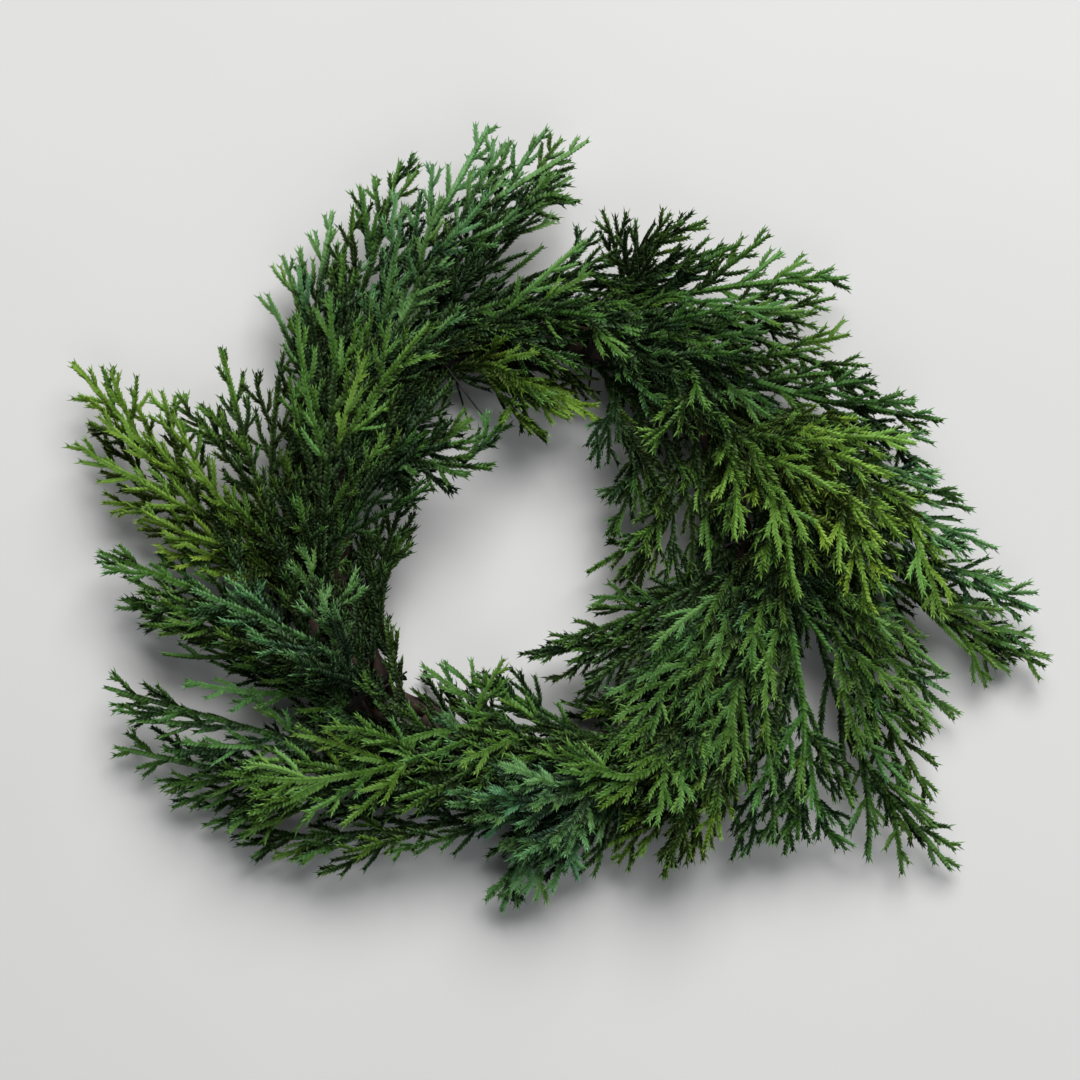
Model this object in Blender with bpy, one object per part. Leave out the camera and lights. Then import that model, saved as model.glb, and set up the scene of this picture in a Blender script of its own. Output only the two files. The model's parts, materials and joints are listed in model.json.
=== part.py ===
"""Juniper candle ring: moulded juniper sprays wired to a ring of twisted vine canes.

The ring lies on its back. The ring's axis is +Z, and every length below is in millimetres.
"""

import math

import bmesh
import bpy
import numpy as np
from mathutils import Vector

METRES = 0.001              # in a millimetre

# The vine ring: canes twisted together, pinched where a wire ties them and bulging between
RING_RADIUS = 80.0
BUNDLE_HEIGHT = 11.0
CANE_RADII = (3.0, 2.6, 2.9, 2.4, 2.7)
CANE_TURNS = 2              # of the canes round each other
CANE_START_DEG = 20.0       # where the first cane's cut end lies
CANE_GAP_DEG = 14.0         # between a cane's two cut ends
CANE_PHASE = -6.0
CANE_STATIONS = (0.0, 0.28, 0.5, 0.72)      # a cane's rings, as shares of the way between ties
CANE_END_ROOM = 3.0         # no ring stands nearer to a cut end than this, in degrees
CANE_SIDES = 6
PINCH = 7.4                 # how far the canes' middles stand from the bundle's at a tie
BULGE = 9.8                 # and halfway between two

# The wire ties, by their angle round the ring
TIE_ANGLES = (250.0, 221.0, 193.0, 156.0, 117.0, 76.0, 38.0, 2.0, -34.0, -70.0)
TIE_POINTS = 16
WIRE_RADIUS = 0.35
WIRE_SIDES = 4
WIRE_FLOOR_GAP = 0.03
TIE_OVER_STEMS = 15.4       # how far a wire runs from the bundle's middle above and beside it
TIE_UNDER_CANES = 11.5      # and below it

# The sprays: half sizes of a section, side by height, and where a stem is bare
STEM_HALF = (0.8, 0.8)      # of the bare stem
TWIG_HALF = (1.35, 1.0)     # of leafy lengths at their base
TWIG_THINS = 0.25           # the share of it they lose on the way to their tip
STEM_REACH = 5.0            # a stem's middle stands this far over the canes' middles
STEM_RISE = 0.8             # and rises this much more past its tie
BARE_BEFORE_TIE = 5.0
BARE_AFTER_TIE = 6.0
BARE_END = 17.0
STEM_STATIONS = (0.0, BARE_BEFORE_TIE, BARE_BEFORE_TIE + BARE_AFTER_TIE, BARE_END)
CURVE_PITCH = 5.0           # between the points of a middle line
CLEARANCE = 0.45            # between a spray and what it is laid on
FLOOR_GAP = 0.6

# Side branches and twigs leave at slots on both sides of a stem or branch
STEM_PITCH = 17.0           # between a stem's slots
BRANCH_PITCH = 15.0         # between a branch's
SLOT_HALF = 2.0
TWIG_LEAN = 34.0            # degrees between a twig and what it leaves
TWIG_LATE_LEAN = 0.6        # its outer half leans this share of that
BRANCH_LEAN = 0.8           # a side branch leaves where its lean is nearest to this share of it
BRANCH_BEND = 0.05          # how far forward a side branch bends, as a share of its reach
BRANCH_FIRST = 8.0          # its first slot stands at least this far out
BRANCH_ROOM = 3.9           # and this far to the side of the stem
BRANCH_LEAST_LEAN = 0.2     # in radians, for working that out
BRANCH_ROOT = 2.5           # the length inside the stem's own room
BRANCH_TRIES = 2            # free slots tried for a side branch
TWIG_SPREAD = 0.34          # a twig's length, as a share of what is left of its parent
TWIG_BASE = 6.0             # and this much on top
TWIG_SHORTEST = 9.0
TWIG_LONGEST = 30.0
TWIG_TRIES = ((1.0, 0), (1.0, 20), (1.0, -20), (0.7, 0), (0.7, 25), (0.7, -25))     # length, tilt
TIP_TAPER = 5.0             # the pointed end of every leafy length
CROTCH = 3.5                # a twig's length inside its parent's room
RING_ROOM = 0.5             # rings nearer together than this are left out

# Colours in linear light, and roughness
BARK = ((0.045, 0.028, 0.016), 0.85)
WIRE = ((0.02, 0.018, 0.016), 0.5)
GREEN_ROUGHNESS = 0.6

GREENS = {
    "dark": (0.035, 0.085, 0.022),
    "mid": (0.065, 0.140, 0.030),
    "bright": (0.100, 0.200, 0.045),
    "yellow": (0.170, 0.300, 0.055),
    "blue": (0.055, 0.135, 0.060),
}

# Each spray: name, tie, place round the bundle (0 on top, 90 outside), green,
# bow (x, y, height), tip (x, y, height), and the tips of its side branches (x, y)
SPRAYS = (
    ("low_left_1", 0, 45, "dark", (-96, -67, 26), (-155, -50, 16), ((-152, -44), (-136, -49), (-143, -62))),
    ("low_left_2", 0, 78, "dark", (-92, -83, 18), (-152, -71, 9),
     ((-144, -79), (-135, -86), (-131, -93), (-108, -95), (-120, -99))),
    ("low_left_3", 0, 10, "mid", (-78, -84, 38), (-112, -81, 32), ((-103, -87), (-89, -92))),
    ("left_1", 1, 45, "mid", (-101, -27, 32), (-157, -2, 20), ((-148, -11), (-140, -29))),
    ("left_2", 1, 78, "dark", (-103, -41, 20), (-150, -18, 12), ((-137, -26), (-126, -34), (-112, -43))),
    ("left_3", 1, 5, "blue", (-78, -37, 44), (-121, -18, 42), ((-105, -12), (-83, 0), (-62, -14))),
    ("left_4", 2, 78, "yellow", (-121, 9, 20), (-163, 35, 12), ((-157, 16), (-144, 6), (-158, 51))),
    ("left_5", 2, 50, "bright", (-117, 9, 30), (-168, 67, 18), ((-166, 54), (-154, 64), (-135, 56))),
    ("left_6", 2, 22, "mid", (-99, 20, 34), (-114, 71, 26), ((-131, 50), (-91, 69), (-99, 34))),
    ("left_7", 2, -8, "mid", (-74, 20, 46), (-69, 101, 44), ((-86, 71), (-38, 76), (-30, 55))),
    ("left_8", 1, -75, "dark", (-59, -21, 24), (-48, 17, 26), ((-44, 1), (-62, 7), (-55, 15))),
    ("top_left_1", 3, 72, "blue", (-80, 82, 24), (-75, 123, 14), ((-98, 91), (-93, 106), (-84, 114))),
    ("top_left_2", 3, 46, "mid", (-62, 92, 32), (-50, 140, 20), ((-65, 130), (-44, 141), (-39, 112))),
    ("top_left_3", 3, 20, "blue", (-44, 99, 36), (-18, 152, 24), ((-33, 137), (-26, 141))),
    ("top_left_4", 3, -6, "blue", (-32, 105, 40), (18, 146, 26), ((-10, 145), (12, 132))),
    ("top_left_5", 3, -31, "dark", (-8, 115, 34), (15, 122, 26), ((1, 114), (-4, 102))),
    ("top_left_6", 3, -66, "dark", (-43, 27, 26), (-16, 25, 22),
     ((-21, 35), (-31, 15), (-23, 43), (-11, 47), (-46, 10))),
    ("top_1", 4, 48, "dark", (-4, 92, 28), (36, 103, 26), ((2, 107), (24, 96), (21, 113))),
    ("top_2", 4, 8, "mid", (7, 83, 36), (39, 59, 34), ((23, 76), (13, 61))),
    ("top_3", 4, -45, "bright", (-11, 60, 34), (-3, 38, 26), ((-14, 40), (23, 44), (11, 44))),
    ("top_right_1", 5, 80, "dark", (36, 103, 18), (60, 115, 16),
     ((22, 121), (31, 113), (47, 117), (54, 104))),
    ("top_right_2", 5, 54, "mid", (71, 92, 28), (111, 97, 18),
     ((87, 106), (70, 102), (99, 100), (64, 102))),
    ("top_right_3", 5, 28, "mid", (78, 71, 34), (122, 53, 22), ((111, 75), (106, 88), (116, 50))),
    ("top_right_4", 5, 2, "dark", (91, 51, 38), (144, 44, 24), ((121, 48), (140, 21))),
    ("top_right_5", 5, -24, "mid", (50, 62, 44), (66, 37, 38), ((50, 41), (36, 30))),
    ("top_right_6", 5, -64, "dark", (37, 41, 26), (26, 2, 20), ((17, 28), (21, 16), (42, 12))),
    ("right_1", 6, 80, "dark", (124, -12, 20), (181, -43, 10), ((171, -41), (159, -51), (152, -39))),
    ("right_2", 6, 55, "blue", (121, 0, 28), (178, -23, 14), ((150, 14), (163, -2))),
    ("right_3", 6, 30, "yellow", (114, 20, 44), (142, -10, 34), ((134, 7), (141, -28))),
    ("right_4", 6, 6, "yellow", (101, 20, 48), (115, -27, 42), ((100, -4), (122, -16))),
    ("right_5", 6, -18, "bright", (80, 23, 46), (89, -23, 44), ((67, -2), (78, -12))),
    ("right_6", 6, -70, "mid", (47, 11, 22), (16, -10, 18), ((23, 2), (27, -21), (50, -16))),
    ("low_right_1", 7, 80, "blue", (119, -34, 20), (148, -62, 10), ((146, -46),)),
    ("low_right_2", 7, 58, "dark", (110, -69, 24), (146, -115, 8), ((128, -117), (116, -112))),
    ("low_right_3", 7, 36, "dark", (117, -55, 28), (139, -91, 12), ((137, -64), (140, -76))),
    ("low_right_4", 7, 14, "mid", (92, -66, 34), (86, -110, 14),
     ((105, -108), (97, -98), (67, -112), (76, -106))),
    ("low_right_5", 7, -14, "dark", (63, -71, 36), (36, -91, 32), ((21, -76), (47, -101))),
    ("low_right_6", 7, -60, "dark", (44, -30, 22), (-8, -39, 20), ((4, -36), (36, -55), (14, -56))),
    ("bottom_1", 8, 34, "bright", (50, -91, 28), (20, -108, 14), ((44, -118), (53, -113), (27, -113))),
    ("bottom_2", 8, -20, "mid", (36, -82, 38), (-4, -73, 36), ((12, -71),)),
    ("bottom_3", 9, 70, "dark", (-46, -100, 16), (-103, -104, 8), ((-86, -109), (-66, -107), (-112, -98))),
    ("bottom_4", 9, 52, "blue", (-2, -103, 24), (-14, -130, 10), ((-20, -126), (-6, -124), (16, -115))),
    ("bottom_5", 9, 28, "blue", (4, -92, 38), (-33, -92, 30), ((-18, -79), (-23, -89))),
    ("bottom_6", 9, 2, "mid", (-14, -78, 34), (-46, -86, 30), ((-50, -96),)),
    ("bottom_7", 9, -40, "mid", (-25, -65, 30), (-73, -78, 28), ((-42, -43), (-21, -45), (-12, -41))),
)

UP = Vector((0.0, 0.0, 1.0))
NUDGE_DEG = 1e-6            # to step just past a tie
TINY = 1e-9                 # for lengths that come out as nothing


# ---------------------------------------------------------------- the ring's own geometry

def bundle_point(angle_deg, place_deg, reach):
    """A point round the cane bundle: place 0 is on top of it, 90 on its outer side."""
    angle = math.radians(angle_deg)
    place = math.radians(place_deg)
    outward = Vector((math.cos(angle), math.sin(angle), 0.0))
    centre = outward * RING_RADIUS + UP * BUNDLE_HEIGHT
    return centre + (outward * math.sin(place) + UP * math.cos(place)) * reach


def tie_span(angle_deg):
    """The ties on both sides of an angle, each as an angle: the one below and the one above."""
    ties = sorted(angle % 360.0 for angle in TIE_ANGLES)
    below = [tie - 360.0 for tie in ties] + ties
    angle = angle_deg % 360.0
    first = max(tie for tie in below if tie <= angle)
    turns = angle_deg - angle
    after = min(tie for tie in ties + [tie + 360.0 for tie in ties] if tie > angle)
    return first + turns, after + turns


def bundle_reach(angle_deg):
    """How far the canes' middles stand from the bundle's: least at a tie, most between two."""
    below, above = tie_span(angle_deg)
    return PINCH + (BULGE - PINCH) * math.sin(math.pi * (angle_deg - below) / (above - below))


def cane_angles(index):
    """The angles of a cane's rings: its two cut ends, every tie, and three between ties."""
    first = 360.0 * index / len(CANE_RADII) + CANE_START_DEG
    last = first + 360.0 - CANE_GAP_DEG
    angles = []
    below, above = tie_span(first)
    while below < last:
        angles += [below + (above - below) * share for share in CANE_STATIONS]
        below, above = tie_span(above + NUDGE_DEG)
    inner = [angle for angle in angles if first + CANE_END_ROOM < angle < last - CANE_END_ROOM]
    return [first, *inner, last]


def cane_path(index):
    """The middle line of one cane, an open length with its two cut ends near each other."""
    phase = 360.0 * index / len(CANE_RADII) + CANE_PHASE
    points = []
    for angle in cane_angles(index):
        points.append(bundle_point(angle, phase + CANE_TURNS * angle, bundle_reach(angle)))
    return points


def tie_path(angle_deg):
    """A closed loop of wire over the canes and the stems on them, flat along the surface."""
    points = []
    for step in range(TIE_POINTS):
        place = 360.0 * step / TIE_POINTS
        under = max(0.0, -math.cos(math.radians(place))) ** 0.5
        reach = TIE_OVER_STEMS + (TIE_UNDER_CANES - TIE_OVER_STEMS) * under
        point = bundle_point(angle_deg, place, reach)
        point.z = max(point.z, WIRE_RADIUS + WIRE_FLOOR_GAP)
        points.append(point)
    return points


# ---------------------------------------------------------------- curves and clearances

def smooth_curve(knots, pitch):
    """Points about a pitch apart on a Catmull-Rom curve through the knots."""
    ends = [knots[0] * 2 - knots[1], *knots, knots[-1] * 2 - knots[-2]]
    points = []
    for a, b, c, d in zip(ends, ends[1:], ends[2:], ends[3:]):
        steps = max(2, round((c - b).length / pitch))
        for step in range(steps):
            t = step / steps
            points.append(0.5 * (2 * b + (c - a) * t + (2 * a - 5 * b + 4 * c - d) * t**2
                                 + (3 * b - a - 3 * c + d) * t**3))
    return points + [knots[-1].copy()]


def lengths_along(points):
    total = [0.0]
    for a, b in zip(points, points[1:]):
        total.append(total[-1] + (b - a).length)
    return total


def at_length(points, lengths, wanted):
    """The point at a length along a line of points, and the line's direction there."""
    wanted = min(max(wanted, 0.0), lengths[-1])
    index = next(i for i in range(1, len(points)) if lengths[i] >= wanted or i == len(points) - 1)
    piece = lengths[index] - lengths[index - 1]
    share = (wanted - lengths[index - 1]) / piece
    ahead = points[min(index + 1, len(points) - 1)] - points[max(index - 2, 0)]
    return points[index - 1].lerp(points[index], share), ahead.normalized()


def nearest_gaps(starts, ends, other_starts, other_ends):
    """The least distances between every one of some segments and every one of others."""
    d1 = (ends - starts)[:, None, :]
    d2 = (other_ends - other_starts)[None, :, :]
    r = starts[:, None, :] - other_starts[None, :, :]
    a = (d1 * d1).sum(-1)
    e = (d2 * d2).sum(-1)
    b = (d1 * d2).sum(-1)
    c = (d1 * r).sum(-1)
    f = (d2 * r).sum(-1)
    det = a * e - b * b
    s = np.where(det > TINY, np.clip((b * f - c * e) / np.maximum(det, TINY), 0, 1), 0.0)
    t = np.clip((b * s + f) / np.maximum(e, TINY), 0, 1)
    s = np.clip((b * t - c) / np.maximum(a, TINY), 0, 1)
    return np.sqrt(((r + d1 * s[..., None] - d2 * t[..., None]) ** 2).sum(-1))


class Space:
    """What is already placed: round-ended rods, each a segment, a radius and its axis's number."""

    def __init__(self):
        self.starts = np.zeros((0, 3))
        self.ends = np.zeros((0, 3))
        self.radii = np.zeros(0)
        self.owners = np.zeros(0, dtype=int)

    def add(self, points, radius, owner=-1):
        line = np.array([tuple(point) for point in points])
        count = len(line) - 1
        self.starts = np.vstack([self.starts, line[:-1]])
        self.ends = np.vstack([self.ends, line[1:]])
        self.radii = np.concatenate([self.radii, np.full(count, radius)])
        self.owners = np.concatenate([self.owners, np.full(count, owner)])

    def clear_of(self, points, radius, parent=-2):
        """True where a rod along the points touches neither the surface nor what is placed."""
        line = np.array([tuple(point) for point in points])
        if line[:, 2].min() < radius + FLOOR_GAP:
            return False
        gaps = nearest_gaps(line[:-1], line[1:], self.starts, self.ends) - self.radii
        return bool((gaps[:, self.owners != parent] > radius + CLEARANCE).all())


# ---------------------------------------------------------------- how a spray lies

STEM_ROD = math.hypot(*STEM_HALF)
TWIG_ROD = math.hypot(*TWIG_HALF)


class Axis:
    """A stem, side branch or twig: its middle line, the slots where twigs may leave it, and
    the stations where its section is set. Each child is (slot, side, axis)."""

    def __init__(self, points, first=0.0, pitch=None):
        self.points = points
        self.lengths = lengths_along(points)
        self.length = self.lengths[-1]
        self.first = first
        self.slots = []
        self.children = []
        self.number = None
        if pitch:
            room = self.length - TIP_TAPER - 3 * SLOT_HALF - first
            self.slots = [first + pitch * step for step in range(int(room / pitch) + 1) if room > 0]

    def at(self, length):
        return at_length(self.points, self.lengths, length)

    def line(self, start, stations=()):
        """The corners of its middle line from a length on."""
        lengths = [start, *(length for length in stations if length > start)]
        lengths += [length for length in (*self.slots, self.length - TIP_TAPER) if length > start]
        return [self.at(length)[0] for length in sorted(lengths)] + [self.points[-1]]


def main_axis(tie, place, bow, tip, lift):
    """A spray's stem: bare under its wire tie, then over its bow to its tip."""
    middle = TIE_ANGLES[tie]
    degrees = math.degrees(1.0 / RING_RADIUS)
    before = middle + BARE_BEFORE_TIE * degrees
    after = middle - BARE_AFTER_TIE * degrees
    knots = [
        bundle_point(before, place, bundle_reach(before) + STEM_REACH),
        bundle_point(middle, place, PINCH + STEM_REACH),
        bundle_point(after, place, bundle_reach(after) + STEM_REACH + STEM_RISE),
        Vector((bow[0], bow[1], bow[2] + lift)),
        Vector((tip[0], tip[1], tip[2] + lift)),
    ]
    return Axis(smooth_curve(knots, CURVE_PITCH), BARE_END + 2 * SLOT_HALF, STEM_PITCH)


def lean_to(axis, length, tip):
    """The angle in plan between an axis at a length and the way from there to a tip."""
    point, ahead = axis.at(length)
    across = Vector((tip[0] - point.x, tip[1] - point.y))
    return math.degrees(ahead.to_2d().angle_signed(across))


def side_branch(stem, start, tip, rise):
    """A branch that leaves the stem forwards, bends a little, and ends over its tip."""
    root, ahead = stem.at(start)
    reach = (Vector(tip) - root.to_2d()).length
    level = stem.at(start + reach)[0].z
    end = Vector((tip[0], tip[1], level + rise))
    middle = root.lerp(end, 0.5) + ahead * BRANCH_BEND * reach
    lean = (middle - root).angle(ahead)
    first = max(BRANCH_FIRST, BRANCH_ROOM / math.sin(max(lean, BRANCH_LEAST_LEAN)))
    points = smooth_curve([root, middle, end], CURVE_PITCH)
    return Axis(points, first + SLOT_HALF, BRANCH_PITCH)


# How much higher a whole spray, and a side branch's tip, is tried than where it belongs
LIFTS = sorted((1.5 * step for step in range(-5, 21)), key=lambda lift: (abs(lift), -lift))
RISES = (0.0, 3.0, -3.0, 6.0, -6.0, 9.0, -9.0, 12.0, 15.0)


def lay_branches(stem, side_tips, space):
    """Adds the stem's side branches, and returns whether each found a clear way."""
    own = Space()
    own.add(stem.line(BARE_END), TWIG_ROD)
    for side_tip in side_tips:
        def miss(start, wanted=side_tip):
            return abs(abs(lean_to(stem, start, wanted)) - BRANCH_LEAN * TWIG_LEAN)

        start = min(stem.slots, key=miss)
        side = -1 if lean_to(stem, start, side_tip) > 0 else 1
        used = {slot for slot, taken_side, _ in stem.children if taken_side == side}
        free = sorted((slot for slot in stem.slots if slot not in used), key=miss)
        found = None
        for slot, rise in ((slot, rise) for slot in free[:BRANCH_TRIES] for rise in RISES):
            branch = side_branch(stem, slot, side_tip, rise)
            clear = space.clear_of(branch.line(BRANCH_ROOT), TWIG_ROD)
            if clear and own.clear_of(branch.line(branch.first), TWIG_ROD):
                found = (slot, side, branch)
                break
        if found is None:
            return False
        own.add(found[2].line(found[2].first), TWIG_ROD)
        stem.children.append(found)
    return True


def lay_spray(row, space):
    """The spray's stem and side branches, at the first height where they touch nothing."""
    name, tie, place, _, bow, tip, side_tips = row
    for lift in LIFTS:
        stem = main_axis(tie, place, bow, tip, lift)
        if not space.clear_of(stem.line(0.0, STEM_STATIONS), STEM_ROD):
            continue
        if not space.clear_of(stem.line(BARE_END), TWIG_ROD):
            continue
        if lay_branches(stem, side_tips, space):
            return stem
    raise ValueError(f"{name} finds no clear height")


def lay_stems():
    """Every spray's stem and side branches in turn, each laid on those before it."""
    space = Space()
    for index, radius in enumerate(CANE_RADII):
        space.add(cane_path(index), radius)
    for angle in TIE_ANGLES:
        loop = tie_path(angle)
        space.add(loop + loop[:1], WIRE_RADIUS)
    stems = {}
    number = 0
    for row in SPRAYS:
        stem = lay_spray(row, space)
        stem.number = number
        space.add(stem.line(0.0, STEM_STATIONS), STEM_ROD, number)
        space.add(stem.line(BARE_END), TWIG_ROD, number)
        for _, _, branch in stem.children:
            number += 1
            branch.number = number
            space.add(branch.line(0.0), TWIG_ROD, number)
        stems[row[0]] = stem
        number += 1
    return stems, space


def side_twig(axis, start, side, reach, tilt_deg):
    """A short twig that leaves the axis at the twigs' lean and bends forwards a little."""
    root, ahead = axis.at(start)
    left = UP.cross(ahead).normalized()
    normal = ahead.cross(left)
    tilt = math.radians(tilt_deg)
    out = left * side * math.cos(tilt) + normal * math.sin(tilt)
    lean = math.radians(TWIG_LEAN)
    middle = root + (ahead * math.cos(lean) + out * math.sin(lean)) * reach * 0.5
    late = lean * TWIG_LATE_LEAN
    end = middle + (ahead * math.cos(late) + out * math.sin(late)) * reach * 0.5
    return Axis([root, middle, end])


def add_twigs(axis, space):
    """Fills an axis's free slots on both sides with twigs, each tilted or cut until it is clear."""
    for start in axis.slots:
        for side in (1, -1):
            if any(start == taken and side == taken_side for taken, taken_side, _ in axis.children):
                continue
            reach = TWIG_SPREAD * (axis.length - start) + TWIG_BASE
            reach = min(max(reach, TWIG_SHORTEST), TWIG_LONGEST)
            for share, tilt in TWIG_TRIES:
                twig = side_twig(axis, start, side, reach * share, tilt)
                rod = [twig.at(CROTCH)[0], *twig.points[1:]]
                if space.clear_of(rod, TWIG_ROD, axis.number):
                    axis.children.append((start, side, twig))
                    space.add(rod, TWIG_ROD, axis.number)
                    break


# ---------------------------------------------------------------- meshes

class Growth:
    """A closed mesh of four-sided rings, where a child starts from a side face of its parent.
    A ring's corners are left top, left bottom, right bottom, right top."""

    def __init__(self):
        self.mesh = bmesh.new()

    def corner(self, point):
        return self.mesh.verts.new(point * METRES)

    def ring(self, point, ahead, half):
        left = UP.cross(ahead).normalized()
        normal = ahead.cross(left).normalized()
        corners = ((1, 1), (1, -1), (-1, -1), (-1, 1))
        return [self.corner(point + left * half[0] * a + normal * half[1] * b) for a, b in corners]

    def join(self, back, front, open_sides):
        """The faces between two rings, but for the sides that children grow from."""
        lt, lb, rb, rt = back
        next_lt, next_lb, next_rb, next_rt = front
        self.mesh.faces.new((rt, next_rt, next_lt, lt))
        self.mesh.faces.new((lb, next_lb, next_rb, rb))
        if 1 not in open_sides:
            self.mesh.faces.new((lt, next_lt, next_lb, lb))
        if -1 not in open_sides:
            self.mesh.faces.new((rb, next_rb, next_rt, rt))

    def point_off(self, ring, point):
        """Closes a ring to a pointed tip."""
        tip = self.corner(point)
        for a, b in zip(ring, ring[1:] + ring[:1]):
            self.mesh.faces.new((b, a, tip))

    def grow(self, axis, base=None):
        """Runs an axis on from its base ring, growing its children on the way."""
        is_stem = base is None
        rings = self.stations(axis, is_stem)
        back = base
        for length, slot in rings:
            point, ahead = axis.at(length)
            bare = is_stem and length < BARE_END
            thin = 1.0 - TWIG_THINS * length / axis.length
            half = STEM_HALF if bare else (TWIG_HALF[0] * thin, TWIG_HALF[1] * thin)
            front = self.ring(point, ahead, half)
            if back is None:
                self.mesh.faces.new(front)
            else:
                here = [(side, child) for start, side, child in axis.children if start == slot]
                self.join(back, front, {side for side, _ in here})
                for side, child in here:
                    lt, lb, rb, rt = back
                    next_lt, next_lb, next_rb, next_rt = front
                    root = (lt, lb, next_lb, next_lt) if side == 1 else (next_rt, next_rb, rb, rt)
                    self.grow(child, list(root))
            back = front
        self.point_off(back, axis.points[-1])

    def stations(self, axis, is_stem):
        """Where rings stand: (length, slot), with a slot's number on the ring just past it."""
        if not axis.slots and not is_stem:
            return [(0.5 * axis.length, None)]
        rings = [(axis.first - SLOT_HALF, None)]
        if is_stem:
            rings = [(length, None) for length in STEM_STATIONS]
        grown = {start for start, _, _ in axis.children}
        for slot in axis.slots:
            if slot in grown:
                rings += [(slot - SLOT_HALF, None), (slot + SLOT_HALF, slot)]
            elif slot - rings[-1][0] > SLOT_HALF:
                rings.append((slot, None))
        rings.append((axis.length - TIP_TAPER, None))
        nexts = rings[1:] + [(math.inf, None)]
        return [ring for ring, after in zip(rings, nexts) if after[0] - ring[0] > RING_ROOM]


STEEP = 0.9                 # a tube's rings are set by the ring's axis where it rises more


def tube_mesh(path, sides, radius, closed, floor=None):
    """A tube of flat-bottomed rings along a path round the ring's axis."""
    mesh = bmesh.new()
    rings = []
    count = len(path)
    for index, point in enumerate(path):
        before = path[index - 1] if closed or index else path[0]
        after = path[(index + 1) % count] if closed or index < count - 1 else path[-1]
        ahead = (after - before).normalized()
        side = ahead.cross(UP) if abs(ahead.z) < STEEP else Vector((point.x, point.y, 0.0))
        side = (side - ahead * side.dot(ahead)).normalized()
        normal = side.cross(ahead)
        ring = []
        for corner in range(sides):
            turn = 2.0 * math.pi * (corner + 0.5) / sides - math.pi / 2.0
            place = point + (side * math.cos(turn) + normal * math.sin(turn)) * radius
            if floor is not None:
                place.z = max(place.z, floor)
            ring.append(mesh.verts.new(place * METRES))
        rings.append(ring)
    pairs = list(zip(rings, rings[1:] + rings[:1])) if closed else list(zip(rings, rings[1:]))
    for back, front in pairs:
        for corner in range(sides):
            other = (corner + 1) % sides
            mesh.faces.new((back[corner], back[other], front[other], front[corner]))
    if not closed:
        mesh.faces.new(rings[0][::-1])
        mesh.faces.new(rings[-1])
    bmesh.ops.recalc_face_normals(mesh, faces=mesh.faces)
    return mesh


# ---------------------------------------------------------------- objects

def plain_material(name, colour, roughness):
    material = bpy.data.materials.new(name)
    material.use_nodes = True
    shader = material.node_tree.nodes["Principled BSDF"]
    shader.inputs["Base Color"].default_value = (*colour, 1.0)
    shader.inputs["Roughness"].default_value = roughness
    shader.inputs["Metallic"].default_value = 0.0
    return material


def add_object(name, mesh, material):
    data = bpy.data.meshes.new(name)
    mesh.to_mesh(data)
    mesh.free()
    data.materials.append(material)
    thing = bpy.data.objects.new(name, data)
    bpy.context.scene.collection.objects.link(thing)
    return thing


def build():
    for thing in list(bpy.data.objects):
        bpy.data.objects.remove(thing)
    things = []
    bark = plain_material("vine_bark", *BARK)
    for index, radius in enumerate(CANE_RADII):
        mesh = tube_mesh(cane_path(index), CANE_SIDES, radius, False, floor=0.0)
        things.append(add_object(f"vine_cane_{index + 1}", mesh, bark))
    wire = plain_material("dark_wire", *WIRE)
    for index, angle in enumerate(TIE_ANGLES):
        mesh = tube_mesh(tie_path(angle), WIRE_SIDES, WIRE_RADIUS, True)
        things.append(add_object(f"wire_tie_{index + 1}", mesh, wire))
    greens = {}
    for name, colour in GREENS.items():
        greens[name] = plain_material(f"{name}_green", colour, GREEN_ROUGHNESS)
    stems, space = lay_stems()
    for stem in stems.values():
        for _, _, branch in stem.children:
            add_twigs(branch, space)
        add_twigs(stem, space)
    for row in SPRAYS:
        growth = Growth()
        growth.grow(stems[row[0]])
        things.append(add_object(f"spray_{row[0]}", growth.mesh, greens[row[3]]))
    return things


def stand_on_origin(things):
    """Moves everything so that the middle of its box is over the origin."""
    corners = [corner for thing in things for corner in (vertex.co for vertex in thing.data.vertices)]
    low = Vector(min(corner[axis] for corner in corners) for axis in range(3))
    high = Vector(max(corner[axis] for corner in corners) for axis in range(3))
    middle = (low + high) / 2.0
    for thing in things:
        thing.location = (-middle.x, -middle.y, -low.z)


if __name__ == "__main__":
    stand_on_origin(build())
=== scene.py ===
"""Looks of the juniper candle ring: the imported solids, dressed with scale-leaved twigs, bark and
wound wire. The ring lies on its back. Lengths are in millimetres about the ring's own axis, and
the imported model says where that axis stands. Angles are in degrees.
"""

import json
import math

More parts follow.
